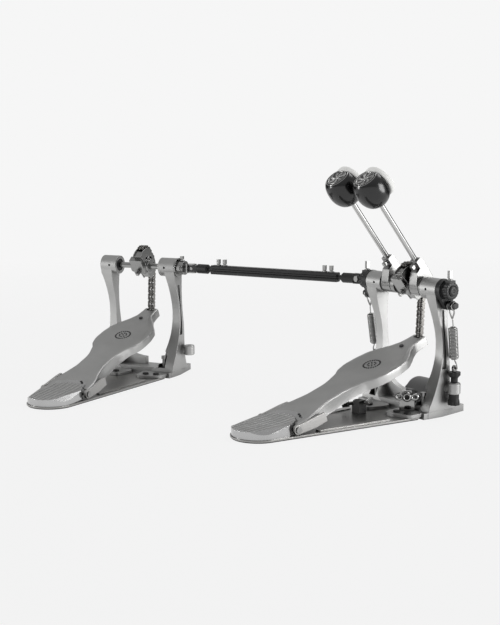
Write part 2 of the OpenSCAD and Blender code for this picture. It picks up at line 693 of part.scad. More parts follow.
// Radius of the chain's pins on the cam at an angle from the drum side
function pin_radius(a) = chain_r + cam_rise * ease(clamp01((a - 48) / 50));
function wrap_angles(n, a) = n < 0
    ? []
    : concat([a], wrap_angles(n - 1, a + chain_pitch / pin_radius(a) * 180 / PI));
function polar(r, a) = [r * cos(a), axle_height + r * sin(a)];
wrap_list = wrap_angles(wrap_links, wrap_start);
module cam_chain() {
    color("#9a968c") translate([track_x, 0, 0]) chain([for (a = wrap_list) polar(pin_radius(a), a)], 1);
}
track_drop = plate_h / 2 + 0.25;
cheek_t = 1.6;
module cam_outline(extra) {
    polygon(concat([for (a = [-70:5:145]) (pin_radius(a) - track_drop + extra) * [cos(a), sin(a)]],
        [for (a = [160:15:275]) 13 * [cos(a), sin(a)]]));
}
module cam() {
    color("#b9b9b9") difference() {
        union() {
            at_axle() translate([track_x, 0, 0]) {
                translate([-chain_half - 1, 0, 0]) rotate([90, 0, 90])
                    linear_extrude(2 * (chain_half + 1)) cam_outline(0);
                for (x = [-chain_half - cheek_t - 0.3, chain_half + 0.3]) translate([x, 0, 0])
                    rotate([90, 0, 90]) linear_extrude(cheek_t) cam_outline(2.2);
            }
            at_axle() x_bar(cam_hub[0], cam_hub[1], 11.5);
            // Flat clamp block that faces the player
            leaned() translate([-9, -13, -7]) cube([23, 11, 31]);
        }
        at_axle() x_bar(-40, 60, axle_r + 0.01);
        leaned() translate([1, -20, -1.5]) rotate([-90, 0, 0]) cylinder(h = 14.5, r = 2.42, $fn = small);
        // Windows beside the hub
        for (a = [8, 62, 112]) at_axle() rotate([a, 0, 0]) translate([track_x, 0, 0]) rotate([90, 0, 90])
            linear_extrude(60, center = true) polygon([[14.2, -2], [17.6, -5], [18.4, 4], [14.6, 5]]);
    }
}
cam_hub = [-14, 19.4];

// Beater holder: hub on the axle with a clamp for the rod on its drum side
holder_w = 15;
holder_face = 12;
bolt_up = 33.5;
module holder(x0, x1, x_clamp, bore) {
    difference() {
        union() {
            at_axle() x_bar(x0, x1, 14);
            leaned() translate([x_clamp - holder_w / 2, 0, 0]) rotate([90, 0, 90]) linear_extrude(holder_w)
                polygon([[3.5, 25.5], [12, 27], [12, 39.5], [22, 39.5], [24, 37.5], [24, 2], [17, -11],
                    [4, -13], [-8, -8], [-12, 6], [-9, 14]]);
        }
        at_axle() x_bar(x0 - 1, x1 + 1, bore);
        leaned() translate([x_clamp, rod_offset, -30]) cylinder(h = 90, r = rod_r + 0.03);
        leaned() translate([x_clamp, rod_offset, bolt_up]) rotate([90, 0, 0])
            cylinder(h = 20, r = 2.42, $fn = small);
        // Slot across the hub
        leaned() translate([x_clamp + holder_w / 2 + 0.6, -20, -3]) cube([1.4, 12, 30]);
    }
}
module holder_bolts(x_clamp) {
    leaned() translate([x_clamp, holder_face - 0.02, bolt_up]) rotate([90, 0, 0])
        key_bolt(rod_offset - rod_r - holder_face - 0.05, 8);
}
module beater_rod(x) {
    color("#cccccc") leaned() translate([x, rod_offset, -10]) cylinder(h = head_up + 10 - 12, r = rod_r);
}
head_low = 26;
head_high = 21;
felt_seat = 14;
module beater_head(x) {
    color("#161616") leaned() translate([x, rod_offset, head_up]) difference() {
        rotate_extrude($fn = 64) polygon(concat([[0, -head_low], [9, -head_low]],
            curve([9, -head_low], [18, -22], [head_r, -10], [head_r, 2], 8, 1),
            curve([head_r, 2], [head_r, 12], [22, 19], [17.5, head_high], 6, 1), [[0, head_high]]));
        translate([-40, felt_seat, -50]) cube([80, 40, 100]);
        translate([0, 0, head_high - 1]) cylinder(h = 5, r = 15.5);
        translate([0, 0, -60]) cylinder(h = 48 + 0.1, r = rod_r + 0.02);
    }
}
module beater_felt(x) {
    color("#e8e4dc") leaned() translate([x, rod_offset + felt_seat, head_up]) rotate([-90, 0, 0])
        rotate_extrude($fn = 64) polygon(concat([[0, 0], [felt_r - 1, 0]],
            curve([felt_r - 1, 0], [felt_r + 1, 3], [felt_r, felt_t - 1], [felt_r - 6, felt_t], 6, 1),
            [[0, felt_t + 1]]));
}

// Spring rocker: washer against the boss, lever, clamp hub, swivel pin with its roller
rocker_x = [77, 83];
rocker_hub_end = 94;
swivel_r = 3;
swivel_angle = atan2(-swivel_drop, swivel_y);
swivel_reach = norm([swivel_y, swivel_drop]);
module rocker() {
    at_axle() difference() {
        union() {
            x_bar(boss_out + 0.4, rocker_x[0], 12);
            x_bar(rocker_x[0] - 2.4, rocker_x[0] + eps, 16.5);
            translate([rocker_x[0], 0, 0]) rotate([90, 0, 90]) linear_extrude(rocker_x[1] - rocker_x[0])
                rotate(swivel_angle) lever_outline(16, 7.5, swivel_reach);
            x_bar(rocker_x[1] - eps, rocker_hub_end, 12.5);
            translate([rocker_x[1], -6, 8]) cube([rocker_hub_end - rocker_x[1], 12, 7]);
        }
        x_bar(60, 100, axle_r + 0.01);
        translate([rocker_x[1] + 5.5, 0, 4]) cylinder(h = 14, r = 2.42, $fn = small);
    }
    translate([0, swivel_y, swivel_z]) {
        x_bar(rocker_x[1] - 1, swivel_x + 9.4, swivel_r);
        x_bar(swivel_x - 2.4, swivel_x + 2.4, 7);
        translate([swivel_x + 6, 0, 0]) rotate([0, 90, 0]) cylinder(h = 3.4, r = 5, $fn = 6);
    }
}
module rocker_bolt() {
    translate([rocker_x[1] + 5.5, 0, axle_height + 15.05]) key_bolt(9.8, 14);
}

// Springs: each swings about the eye of its tension rod and reaches up to the rocker's swivel
swing = swivel_point - eye_point;
swing_len = norm(swing);
module on_spring_line() {
    translate(eye_point) rotate([-asin(swing[1] / swing_len), atan2(swing[0], swing[2]), 0]) children();
}
coil_low = 13;
coil_r = (spring_d - spring_wire) / 2;
core_r = coil_r * 0.18;
turn_rings = 8;
link_len = 20;
link_wire = 1.2;
link_foot = swing_len - link_len;
stub_top = link_foot - link_wire - 0.3;
spring_curls = round((stub_top - spring_end - coil_low) / spring_pitch);
coil_len = spring_curls * spring_pitch;
// Centre line of the coils, with a taper at both ends
function coil_point(k) = let (
    turns = k / turn_rings,
    r = min(coil_r, core_r + coil_r * turns / 1.3, core_r + coil_r * (spring_curls - turns) / 1.3)
) [r * cos(360 * turns), r * sin(360 * turns), coil_low + turns * spring_pitch];
coil_steps = turn_rings * spring_curls;
hook_x = 4.6;
hook_low = concat([[-3.8, 0, 0], [0, 0, 0]],
    [for (a = [0:30:90]) [hook_x - 2 + 2 * sin(a), 0, 2 - 2 * cos(a)]],
    [[hook_x, 0, 5], [core_r + 1, 0, coil_low - 3.5]]);
spring_path = concat(hook_low, [for (k = [0:coil_steps]) coil_point(k)],
    [[core_r, 0, coil_low + coil_len + 3], [core_r, 0, stub_top]]);
// Tube of six sides round a path, its frame carried along without twist
tube_sides = 6;
function heading(path, i) = let (d = path[min(len(path) - 1, i + 1)] - path[max(0, i - 1)]) d / norm(d);
function carried(path, i, u) = let (
    t = heading(path, i),
    w = u - t * (u * t),
    v = w / norm(w)
) i == len(path) - 1 ? [v] : concat([v], carried(path, i + 1, v));
module wire_tube(path, r) {
    n = len(path);
    m = tube_sides;
    us = carried(path, 0, [0, 1, 0]);
    points = [for (i = [0:n - 1]) let (v = cross(heading(path, i), us[i])) for (j = [0:m - 1])
        path[i] + r * (cos(360 * j / m) * us[i] + sin(360 * j / m) * v)];
    polyhedron(points = points, faces = concat([[for (j = [0:m - 1]) m - 1 - j]],
        [for (i = [0:n - 2]) for (j = [0:m - 1]) let (
            a = i * m + j,
            b = i * m + (j + 1) % m
        ) each [[a, b, a + m], [b, b + m, a + m]]],
        [[for (j = [0:m - 1]) (n - 1) * m + j]]));
}
// Least gap of the spring to itself, between points at least half a curl apart
coil_gap = min([for (k = [0:coil_steps]) for (m = [turn_rings / 2:turn_rings * 2])
    if (k + m <= coil_steps) norm(coil_point(k) - coil_point(k + m)) - spring_wire]);
echo(spring_gap = coil_gap);
module tension_spring() {
    on_spring_line() wire_tube(spring_path, spring_wire / 2);
}
lug_half = 8.5;
rod_low = 22;
rod_eye_r = 4.6;
module tension_rod() {
    translate([lug_x, lug_y, rod_low]) cylinder(h = eye_point[2] - rod_low - 2, r = tension_d / 2, $fn = small);
    translate(eye_point) difference() {
        union() {
            x_bar(-1.7, 1.7, rod_eye_r, small);
            translate([0, 0, -5]) cylinder(h = 3, r = 3.4, $fn = small);
        }
        x_bar(-3, 3, 1.9, small);
    }
}
// Fluted knob that runs on the tension rod
module knob(h, r0, r1) {
    difference() {
        union() {
            cylinder(h = h * 0.3, r = r0, $fn = small);
            translate([0, 0, h * 0.3 - eps]) cylinder(h = h * 0.3, r1 = r0, r2 = r1, $fn = small);
            translate([0, 0, h * 0.6 - 2 * eps]) cylinder(h = h * 0.4, r = r1, $fn = small);
        }
        translate([0, 0, -1]) cylinder(h = h + 2, r = tension_d / 2 + run_gap, $fn = small);
        for (a = [0:45:315]) rotate([0, 0, a]) translate([r0 + 1, 0, -1])
            cylinder(h = h + 2, r = 1.8, $fn = 16);
    }
}
module tension_knobs() {
    translate(lug_point) {
        translate([0, 0, lug_half + 16.2]) mirror([0, 0, 1]) knob(15.5, 9, 5.2);
        translate([0, 0, -lug_half - 16.2]) knob(15.5, 8.8, 7.6);
    }
}
// Wire link: two slotted eyes on the swivel pin, legs that meet above the spring
eye_x = 4.35;
eye_r = swivel_r + 1.1;
eye_wall = 1.5;
slack = 2.4;
module link_eye(r) {
    circle(r = r);
    translate([-r, -slack]) square([2 * r, slack]);
    translate([0, -slack]) circle(r = r);
}
module spring_link() {
    on_spring_line() translate([0, 0, swing_len]) for (s = [-1, 1]) side(s) {
        translate([eye_x - 0.9, 0, 0]) rotate([90, 0, 90]) linear_extrude(1.8) difference() {
            link_eye(eye_r + eye_wall);
            link_eye(eye_r);
        }
        wire([eye_x, 0, -slack - eye_r - 0.2], [eye_x, 0, -11]);
        wire([eye_x, 0, -11], [0, 0, -link_len]);
    }
}
module wire(a, b) {
    from_to(a, b) cylinder(h = norm(b - a), r = link_wire, $fn = 16);
    translate(b) sphere(r = link_wire + 0.1, $fn = 16);
}

// Axles
shaft_end = -33;
module main_axle_shaft() {
    color("#c8c8c8") at_axle() x_bar(shaft_end, rocker_hub_end + 1.5, axle_r);
}
sleeve_r = 9;
hub_in = [-42.5, -14.6];
module left_hub() {
    color("#3c3c3c") at_axle() difference() {
        x_bar(hub_in[0], hub_in[1], sleeve_r);
        x_bar(shaft_end - 0.5, 0, axle_r + run_gap);
    }
    color("#3c3c3c") at_axle() x_bar(-rocker_hub_end - 1, hub_in[0] + eps, axle_r);
    color("#2c2c2c") at_axle() mirror([1, 0, 0]) fork(0);
}
collar_x = 96.4;
ear_t = 2.4;
ear_r = 5.2;
journal_r = 2.5;
cross_half = 5;
// Strip with a round end about the journal, from x0 to the joint's centre
module ear_outline(x0) {
    circle(r = ear_r);
    translate([x0, -ear_r]) square([-x0, 2 * ear_r]);
}
// Two ears on the Z faces of a joint whose centre is the origin, body towards -X
module ears(x0, loose) {
    for (m = [-1, 1]) translate([0, 0, m * (joint_w / 2 - ear_t / 2)]) difference() {
        linear_extrude(ear_t, center = true) ear_outline(x0);
        cylinder(h = 10, r = journal_r + loose, center = true);
    }
}
// Fork at the end of an axle: ears on the Y faces with turn 0, on the Z faces with turn 90
module fork(turn) {
    x_bar(rocker_hub_end + 0.5, collar_x - 1, axle_r);
    translate([collar_x - 2, -joint_w / 2, -joint_w / 2]) cube([2, joint_w, joint_w]);
    translate([joint_x, 0, 0]) rotate([90 - turn, 0, 0]) ears(collar_x - joint_x - 0.5, run_gap);
}

// Drive shaft between the joint centres
main_joint = [-joint_x, 0, axle_height];
slave_joint = [slave_x + joint_x * cos(slave_turn), slave_y + joint_x * sin(slave_turn), axle_height];
shaft_len = norm(slave_joint - main_joint);
shaft_angle = atan2(slave_joint[1] - main_joint[1], slave_joint[0] - main_joint[0]);
hub_from = 10;
hub_to = 31;
channel_start = hub_to + channel_margin;
channel_len = shaft_len - 2 * channel_start;
// Local X from the main joint to the slave joint
module on_shaft() {
    translate(main_joint) rotate([0, 0, shaft_angle]) children();
}
// Hub with ears on the Z faces about the local origin, body towards +X
module shaft_fork() {
    x_bar(hub_from, hub_to - 2, joint_w / 2);
    x_bar(hub_to - 2 - eps, hub_to, joint_w / 2 - 1.6);
    mirror([1, 0, 0]) ears(-hub_from - 0.5, 0.4);
}
module shaft_main_rod() {
    color("#2e2e2e") on_shaft() {
        shaft_fork();
        x_bar(hub_to - 1, shaft_len / 2 - 20, shaft_rod_d / 2);
    }
}
module shaft_slave_rod() {
    color("#2e2e2e") on_shaft() translate([shaft_len, 0, 0]) mirror([1, 0, 0]) {
        rotate([90, 0, 0]) shaft_fork();
        x_bar(hub_to - 1, shaft_len / 2 - 20, shaft_rod_d / 2);
    }
}
bolt_places = [12, 24];
module channel_bolt_places() {
    for (b = bolt_places) for (x = [channel_start + b, shaft_len - channel_start - b])
        translate([x, 0, channel_w / 2]) children();
}
module shaft_channel() {
    h = channel_w / 2;
    color("#232323") on_shaft() difference() {
        translate([channel_start, 0, 0]) rotate([90, 0, 90]) linear_extrude(channel_len) difference() {
            polygon([[-h + 2, -h], [h - 2, -h], [h, -h + 2], [h, -2.4], [h - 2, -1.2], [h - 2, 1.2], [h, 2.4],
                [h, h - 2], [h - 2, h], [-h + 2, h], [-h, h - 2], [-h, 2.4], [-h + 2, 1.2], [-h + 2, -1.2],
                [-h, -2.4], [-h, -h + 2]]);
            circle(r = shaft_rod_d / 2 + run_gap, $fn = 48);
        }
        channel_bolt_places() translate([0, 0, -3]) cylinder(h = 4, r = 2.42, $fn = small);
    }
}
module shaft_bolts() {
    color("#d2d2d2") on_shaft() channel_bolt_places() translate([0, 0, 0.02]) key_bolt(2.8, 10.5);
}
// Cross of a universal joint
module cross_piece() {
    cube(2 * cross_half, center = true);
    for (a = [0, 90]) rotate([a, 0, 0]) cylinder(h = joint_w - 0.2, r = journal_r, center = true);
}
module main_cross() {
    color("#d0d0d0") translate(main_joint) {
        cross_piece();
        rotate([90, 0, 0]) cylinder(h = joint_w + 0.4, r = journal_r, center = true);
        for (s = [-1, 1]) rotate([s * 90, 0, 0]) translate([0, 0, joint_w / 2 + 0.1]) cylinder(h = 1.8, r = 4.6);
    }
}
module slave_cross() {
    color("#d0d0d0") translate(slave_joint) rotate([0, 0, shaft_angle]) cross_piece();
}
hub_x = [77, 89];
module slave_axle() {
    color("#c8c8c8") at_axle() difference() {
        union() {
            x_bar(-boss_out, hub_x[1], axle_r);
            x_bar(boss_out + 0.6, hub_x[0], 16.5);
            x_bar(hub_x[0] - eps, hub_x[1], 12);
            x_bar(hub_x[1] - eps, rocker_hub_end + 1, axle_r + 1);
        }
        translate([hub_x[0] + 5.5, 0, 6.5]) cylinder(h = 10, r = 2.42, $fn = small);
        translate([hub_x[0] + 5.5, -6.5, 0]) rotate([90, 0, 0]) cylinder(h = 10, r = 2.42, $fn = small);
    }
    color("#2c2c2c") at_axle() fork(90);
}
module slave_bolts() {
    translate([hub_x[0] + 5.5, 0, axle_height + 12.02]) key_bolt(5, 8);
    translate([hub_x[0] + 5.5, -12.02, axle_height]) rotate([90, 0, 0]) key_bolt(5, 3.2);
    cam_bolt();
}
module cam_bolt() {
    leaned() translate([1, -13.02, -1.5]) rotate([90, 0, 0]) key_bolt(7, 8);
}
module main_bolts() {
    cam_bolt();
    holder_bolts(beater_x);
    rocker_bolt();
}
module left_bolts() {
    holder_bolts(-left_beater_x);
    side(-1) rocker_bolt();
}
hub_out = 42.5;
cam_gap = 0.6;

// Every piece of the pedal in its place
module main_base_mat() {
    base_mat();
}
module main_base_plate() {
    base_plate();
}
module main_heel_plate() {
    heel_plate();
}
module main_frame() {
    color("#8e8e8e") frame_casting();
}
module main_bearings() {
    color("#1e1e1e") bearings();
}
module main_screws() {
    color("#9a9a9a") pedal_screws();
}
module main_hinge_pin() {
    hinge_pin();
}
module tension_rods() {
    color("#c4c4c4") for (s = [-1, 1]) side(s) tension_rod();
}
module right_spring() {
    color("#a8a8a8") tension_spring();
}
module left_spring() {
    color("#a8a8a8") side(-1) tension_spring();
}
module right_knobs() {
    color("#181818") tension_knobs();
}
module left_knobs() {
    color("#181818") side(-1) tension_knobs();
}
module main_footboard() {
    footboard();
}
module main_hinge_bracket() {
    hinge_bracket();
}
module main_toe_clevis() {
    toe_clevis();
}
module main_chain() {
    chain_run();
}
module main_cam() {
    cam();
}
module main_cam_chain() {
    cam_chain();
}
module right_beater_holder() {
    color("#b4b4b4") holder(cam_hub[1] + cam_gap, hub_out, beater_x, axle_r + 0.01);
}
module right_rocker() {
    color("#1e1e1e") rocker();
}
module main_axle_bolts() {
    color("#cfcfcf") main_bolts();
}
module right_beater_rod() {
    beater_rod(beater_x);
}
module right_beater_head() {
    beater_head(beater_x);
}
module right_beater_felt() {
    beater_felt(beater_x);
}
module right_spring_link() {
    color("#8f8f8f") spring_link();
}
module left_drive_hub() {
    left_hub();
}
module left_beater_holder() {
    color("#b4b4b4") holder(-hub_out, hub_in[1], -left_beater_x, sleeve_r + 0.01);
}
module left_rocker() {
    color("#1e1e1e") side(-1) rocker();
}
module left_hub_bolts() {
    color("#cfcfcf") left_bolts();
}
module left_beater_rod() {
    beater_rod(-left_beater_x);
}
module left_beater_head() {
    beater_head(-left_beater_x);
}
module left_beater_felt() {
    beater_felt(-left_beater_x);
}
module left_spring_link() {
    color("#8f8f8f") side(-1) spring_link();
}
module slave_base_mat() {
    at_slave() base_mat();
}
module slave_base_plate() {
    at_slave() base_plate();
}
module slave_heel_plate() {
    at_slave() heel_plate();
}
module slave_frame() {
    color("#8e8e8e") at_slave() frame_casting(false);
}
module slave_bearings() {
    color("#1e1e1e") at_slave() bearings();
}
module slave_screws() {
    color("#9a9a9a") at_slave() pedal_screws();
}
module slave_hinge_pin() {
    at_slave() hinge_pin();
}
module slave_footboard() {
    at_slave() footboard();
}
module slave_hinge_bracket() {
    at_slave() hinge_bracket();
}
module slave_toe_clevis() {
    at_slave() toe_clevis();
}
module slave_chain() {
    at_slave() chain_run();
}
module slave_axle_shaft() {
    at_slave() slave_axle();
}
module slave_cam() {
    at_slave() cam();
}
module slave_cam_chain() {
    at_slave() cam_chain();
}
module slave_axle_bolts() {
    color("#cfcfcf") at_slave() slave_bolts();
}

main_base_mat();
main_base_plate();
main_heel_plate();
main_frame();
main_bearings();
main_screws();
main_hinge_pin();
clamp_bracket();
key_clip();
drum_key();
tension_rods();
right_spring();
left_spring();
right_knobs();
left_knobs();
clamp_screw();
hoop_jaw();
main_footboard();
main_hinge_bracket();
main_toe_clevis();
main_chain();
main_axle_shaft();
main_cam();
main_cam_chain();
right_beater_holder();
right_rocker();
main_axle_bolts();
right_beater_rod();
right_beater_head();
right_beater_felt();
right_spring_link();
left_drive_hub();
left_beater_holder();
left_rocker();
left_hub_bolts();
left_beater_rod();
left_beater_head();
left_beater_felt();
left_spring_link();
main_cross();
shaft_channel();
shaft_main_rod();
shaft_bolts();
shaft_slave_rod();
slave_cross();
slave_base_mat();
slave_base_plate();
slave_heel_plate();
slave_frame();
slave_bearings();
slave_screws();
slave_hinge_pin();
slave_footboard();
slave_hinge_bracket();
slave_toe_clevis();
slave_chain();
slave_axle_shaft();
slave_cam();
slave_cam_chain();
slave_axle_bolts();
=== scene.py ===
"""Looks of a double bass drum pedal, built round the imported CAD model."""
import json
import math

import bmesh
import bpy
from mathutils import Matrix, Vector


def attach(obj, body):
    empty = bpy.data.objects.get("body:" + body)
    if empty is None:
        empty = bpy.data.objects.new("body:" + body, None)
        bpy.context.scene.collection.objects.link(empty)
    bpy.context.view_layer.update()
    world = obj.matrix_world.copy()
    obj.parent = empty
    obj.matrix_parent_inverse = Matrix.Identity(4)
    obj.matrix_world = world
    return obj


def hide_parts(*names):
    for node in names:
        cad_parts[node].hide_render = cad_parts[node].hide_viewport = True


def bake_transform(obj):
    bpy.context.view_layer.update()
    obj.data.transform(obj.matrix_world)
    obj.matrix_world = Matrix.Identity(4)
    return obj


MM = 0.001
MERGE = 0.01 * MM

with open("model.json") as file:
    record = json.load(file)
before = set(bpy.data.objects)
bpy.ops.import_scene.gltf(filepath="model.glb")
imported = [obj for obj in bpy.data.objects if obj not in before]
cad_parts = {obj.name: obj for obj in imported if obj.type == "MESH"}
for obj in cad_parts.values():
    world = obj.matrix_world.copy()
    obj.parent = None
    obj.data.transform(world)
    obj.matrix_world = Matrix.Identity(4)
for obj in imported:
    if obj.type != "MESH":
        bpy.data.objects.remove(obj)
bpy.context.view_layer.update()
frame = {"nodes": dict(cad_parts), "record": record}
nodes = frame["nodes"]


# Camera, at the photograph's place

CAMERA_AT = Vector((1.2327, -1.1903, 0.3907))
CAMERA_LOOKS = Vector((-0.7999, 0.5832, -0.1415))
FOCAL_LENGTH = 81.83

camera_data = bpy.data.cameras.new("camera")
camera_data.sensor_fit = "HORIZONTAL"
camera_data.sensor_width = 36.0
camera_data.lens = FOCAL_LENGTH
camera_data.clip_end = 50.0
camera = bpy.data.objects.new("camera", camera_data)
camera.location = CAMERA_AT
camera.rotation_euler = CAMERA_LOOKS.to_track_quat("-Z", "Y").to_euler()
bpy.context.scene.collection.objects.link(camera)
bpy.context.scene.camera = camera


# Colours and material nodes


def linear(hex_colour):
    """sRGB hex to linear RGBA."""
    parts = [int(hex_colour[i : i + 2], 16) / 255 for i in (1, 3, 5)]
    curve = [v / 12.92 if v <= 0.04045 else ((v + 0.055) / 1.055) ** 2.4 for v in parts]
    return (*curve, 1.0)


def add(tree, kind, settings=None, links=None, values=None):
    """Adds one node with its settings, its values and its incoming links."""
    node = tree.nodes.new(kind)
    for name, value in (settings or {}).items():
        setattr(node, name, value)
    for socket, value in (values or {}).items():
        node.inputs[socket].default_value = value
    for socket, source in (links or {}).items():
        tree.links.new(source, node.inputs[socket])
    return node


def start_material(name):
    """An empty material with its output and a shader on it."""
    material = bpy.data.materials.new(name)
    material.use_nodes = True
    tree = material.node_tree
    tree.nodes.clear()
    shader = add(tree, "ShaderNodeBsdfPrincipled")
    add(tree, "ShaderNodeOutputMaterial", links={"Surface": shader.outputs["BSDF"]})
    where = add(tree, "ShaderNodeTexCoord").outputs["Object"]
    return material, tree, shader, where


def painted_edge_highlight(tree, radius, samples=6):
    """Painted highlight mask: 1 on rounded edges and 0 on flats, and the normal with its edges rounded."""
    bevel = add(tree, "ShaderNodeBevel", {"samples": samples}, values={"Radius": radius})
    flat = add(tree, "ShaderNodeNewGeometry").outputs["Normal"]
    dot = add(tree, "ShaderNodeVectorMath", {"operation": "DOT_PRODUCT"}, {0: bevel.outputs["Normal"], 1: flat})
    edge = add(
        tree,
        "ShaderNodeMapRange",
        values={"From Min": 0.995, "From Max": 0.80, "To Min": 0.0, "To Max": 1.0},
        links={"Value": dot.outputs["Value"]},
    )
    return edge.outputs["Result"], bevel.outputs["Normal"]


def hollow_shade(tree, distance, least, samples=6):
    """Painted shade: 1 in the open and the least value deep in corners and under things."""
    cover = add(tree, "ShaderNodeAmbientOcclusion", {"samples": samples}, values={"Distance": distance})
    shade = add(
        tree,
        "ShaderNodeMapRange",
        values={"From Min": 0.15, "From Max": 0.85, "To Min": least, "To Max": 1.0},
        links={"Value": cover.outputs["AO"]},
    )
    return shade.outputs["Result"]


def metal(
    name, colour, edge_highlight_colour, roughness, grit, bump, mottle=0.12, bevel=0.7, stretch=None, painted_shade=(12, 0.5)
):
    """A metal surface with a painted highlight on its rounded edges and painted shade in its hollows.

    Grit, bump height, bevel and the reach of the painted shade are in millimetres, and a bevel of 0 leaves its edges
    out.
    """
    material, tree, shader, where = start_material(name)
    if stretch:
        where = add(tree, "ShaderNodeMapping", values={"Scale": stretch}, links={"Vector": where}).outputs["Vector"]
    grain = add(
        tree,
        "ShaderNodeTexNoise",
        values={"Scale": 1 / (grit * MM * 2), "Detail": 3.0, "Roughness": 0.6},
        links={"Vector": where},
    )
    cloud = add(tree, "ShaderNodeTexNoise", values={"Scale": 28.0, "Detail": 2.0}, links={"Vector": where})
    base = linear(colour)
    dark = tuple(c * (1 - mottle) for c in base[:3]) + (1.0,)
    light = tuple(min(1.0, c * (1 + mottle)) for c in base[:3]) + (1.0,)
    both = add(
        tree,
        "ShaderNodeMath",
        {"operation": "MULTIPLY_ADD"},
        {0: grain.outputs["Fac"], 2: cloud.outputs["Fac"]},
        {1: 0.9},
    )
    spots = add(
        tree,
        "ShaderNodeMapRange",
        values={"From Min": 0.75, "From Max": 1.15},
        links={"Value": both.outputs["Value"]},
    )
    mottled = add(tree, "ShaderNodeMix", {"data_type": "RGBA"}, {0: spots.outputs["Result"]}, {6: dark, 7: light})
    surface, relief_from = mottled.outputs[2], {"Height": grain.outputs["Fac"]}
    if bevel:
        edge, relief_from["Normal"] = painted_edge_highlight(tree, bevel * MM)
        # Painted highlight: rounded edges take the lighter edge highlight colour.
        edge_highlighted = add(tree, "ShaderNodeMix", {"data_type": "RGBA"}, {0: edge, 6: surface}, {7: linear(edge_highlight_colour)})
        surface = edge_highlighted.outputs[2]
    # Painted shade: the colour darkens in hollows, in corners and under things.
    shade = hollow_shade(tree, painted_shade[0] * MM, painted_shade[1])
    tone = add(tree, "ShaderNodeVectorMath", {"operation": "SCALE"}, {0: surface, "Scale": shade})
    relief = add(tree, "ShaderNodeBump", values={"Strength": 0.6, "Distance": bump * MM}, links=relief_from)
    rough = add(
        tree,
        "ShaderNodeMapRange",
        values={"To Min": roughness - 0.06, "To Max": roughness + 0.06},
        links={"Value": grain.outputs["Fac"]},
    )
    tree.links.new(tone.outputs["Vector"], shader.inputs["Base Color"])
    tree.links.new(rough.outputs["Result"], shader.inputs["Roughness"])
    tree.links.new(relief.outputs["Normal"], shader.inputs["Normal"])
    shader.inputs["Metallic"].default_value = 1.0
    return material


def plastic(name, colour, roughness, grit, bump, coat=0.0, bevel=0.6, edge_highlight_colour=None):
    """A dielectric surface, moulded or painted, whose rounded edges carry a painted highlight."""
    material, tree, shader, where = start_material(name)
    grain = add(
        tree,
        "ShaderNodeTexNoise",
        values={"Scale": 1 / (grit * MM * 2), "Detail": 2.0},
        links={"Vector": where},
    )
    edge, rounded = painted_edge_highlight(tree, bevel * MM)
    ends = {6: linear(colour), 7: linear(edge_highlight_colour or colour)}
    # Painted highlight: rounded edges take the edge highlight colour.
    tone = add(tree, "ShaderNodeMix", {"data_type": "RGBA"}, {0: edge}, ends)
    relief = add(
        tree,
        "ShaderNodeBump",
        values={"Strength": 0.5, "Distance": bump * MM},
        links={"Height": grain.outputs["Fac"], "Normal": rounded},
    )
    rough = add(
        tree,
        "ShaderNodeMapRange",
        values={"To Min": roughness - 0.05, "To Max": roughness + 0.08},
        links={"Value": grain.outputs["Fac"]},
    )
    tree.links.new(tone.outputs[2], shader.inputs["Base Color"])
    tree.links.new(rough.outputs["Result"], shader.inputs["Roughness"])
    tree.links.new(relief.outputs["Normal"], shader.inputs["Normal"])
    shader.inputs["Coat Weight"].default_value = coat
    return material


# Sand-blasted cast aluminium: satin grey, fine even grit, edges painted brighter as a highlight, painted shade under
# the boards
cast = metal("blasted_cast_aluminium", "#b4b4b3", "#dcdcdb", 0.46, 0.4, 0.05, 0.05, painted_shade=(26, 0.22))
# The same casting on the grooved heel blocks, whose ribs are too narrow for a painted edge highlight; painted shade
# in the grooves
grooved = metal("grooved_cast_aluminium", "#aeaead", "#c8c8c7", 0.5, 2.0, 0.01, 0.05, bevel=0, painted_shade=(4, 0.2))
# Machined walls of the heel blocks and scoops of the forks: smoother, they mirror the lamps softly
machined = metal("machined_aluminium_wall", "#bababa", "#e6e6e5", 0.20, 0.5, 0.01, 0.04, bevel=0.4, painted_shade=(12, 0.3))
# Turned aluminium: smoother and paler than the castings
turned = metal("turned_aluminium", "#9b9b9a", "#dededd", 0.24, 0.5, 0.01, 0.05, painted_shade=(14, 0.25))
# Rolled steel base plate: pale, faint rolling lines along its length, painted shade where the board covers it
plate = metal(
    "rolled_steel_plate", "#bdbcba", "#e2e1df", 0.38, 0.6, 0.03, 0.06, stretch=(1.0, 0.06, 1.0), painted_shade=(90, 0.2)
)
# Chromed steel: near mirror, painted black shade in its crevices
chrome = metal("chromed_steel", "#a2a2a1", "#dededd", 0.09, 0.6, 0.001, 0.02, bevel=0.4, painted_shade=(14, 0.05))
# Polished steel rods of the beaters: paler than the chrome
polished = metal("polished_steel_rod", "#c6c6c5", "#e6e6e5", 0.08, 0.6, 0.001, 0.02, bevel=0.4, painted_shade=(6, 0.2))
# Zinc-plated fasteners: darker than chrome and a little dull
zinc = metal("zinc_plated_steel", "#979796", "#cdcdcc", 0.30, 0.4, 0.01, 0.08, bevel=0.4, painted_shade=(8, 0.2))
# Nickel-plated roller chain: warm grey, oily, painted black shade between the links
nickel = metal("nickel_plated_chain", "#8f8d8a", "#dbdad7", 0.22, 0.4, 0.01, 0.12, bevel=0.25, painted_shade=(7, 0.03))
# Spring steel wire, bright drawn
wire = metal("drawn_spring_wire", "#a8a8a7", "#d0d0cf", 0.24, 0.4, 0.005, 0.08, bevel=0.2, painted_shade=(4, 0.1))
# Black powder coat: satin black with a fine orange peel, edges painted lighter as a highlight
powder = plastic("black_powder_coat", "#1b1b1c", 0.38, 0.8, 0.03, edge_highlight_colour="#4a4a4b")
# Dark grey powder coat: the jaw, and painted shade on the floor of the heel blocks' grooves
grey_powder = plastic("grey_powder_coat", "#666666", 0.45, 0.7, 0.04, edge_highlight_colour="#8a8a8a")
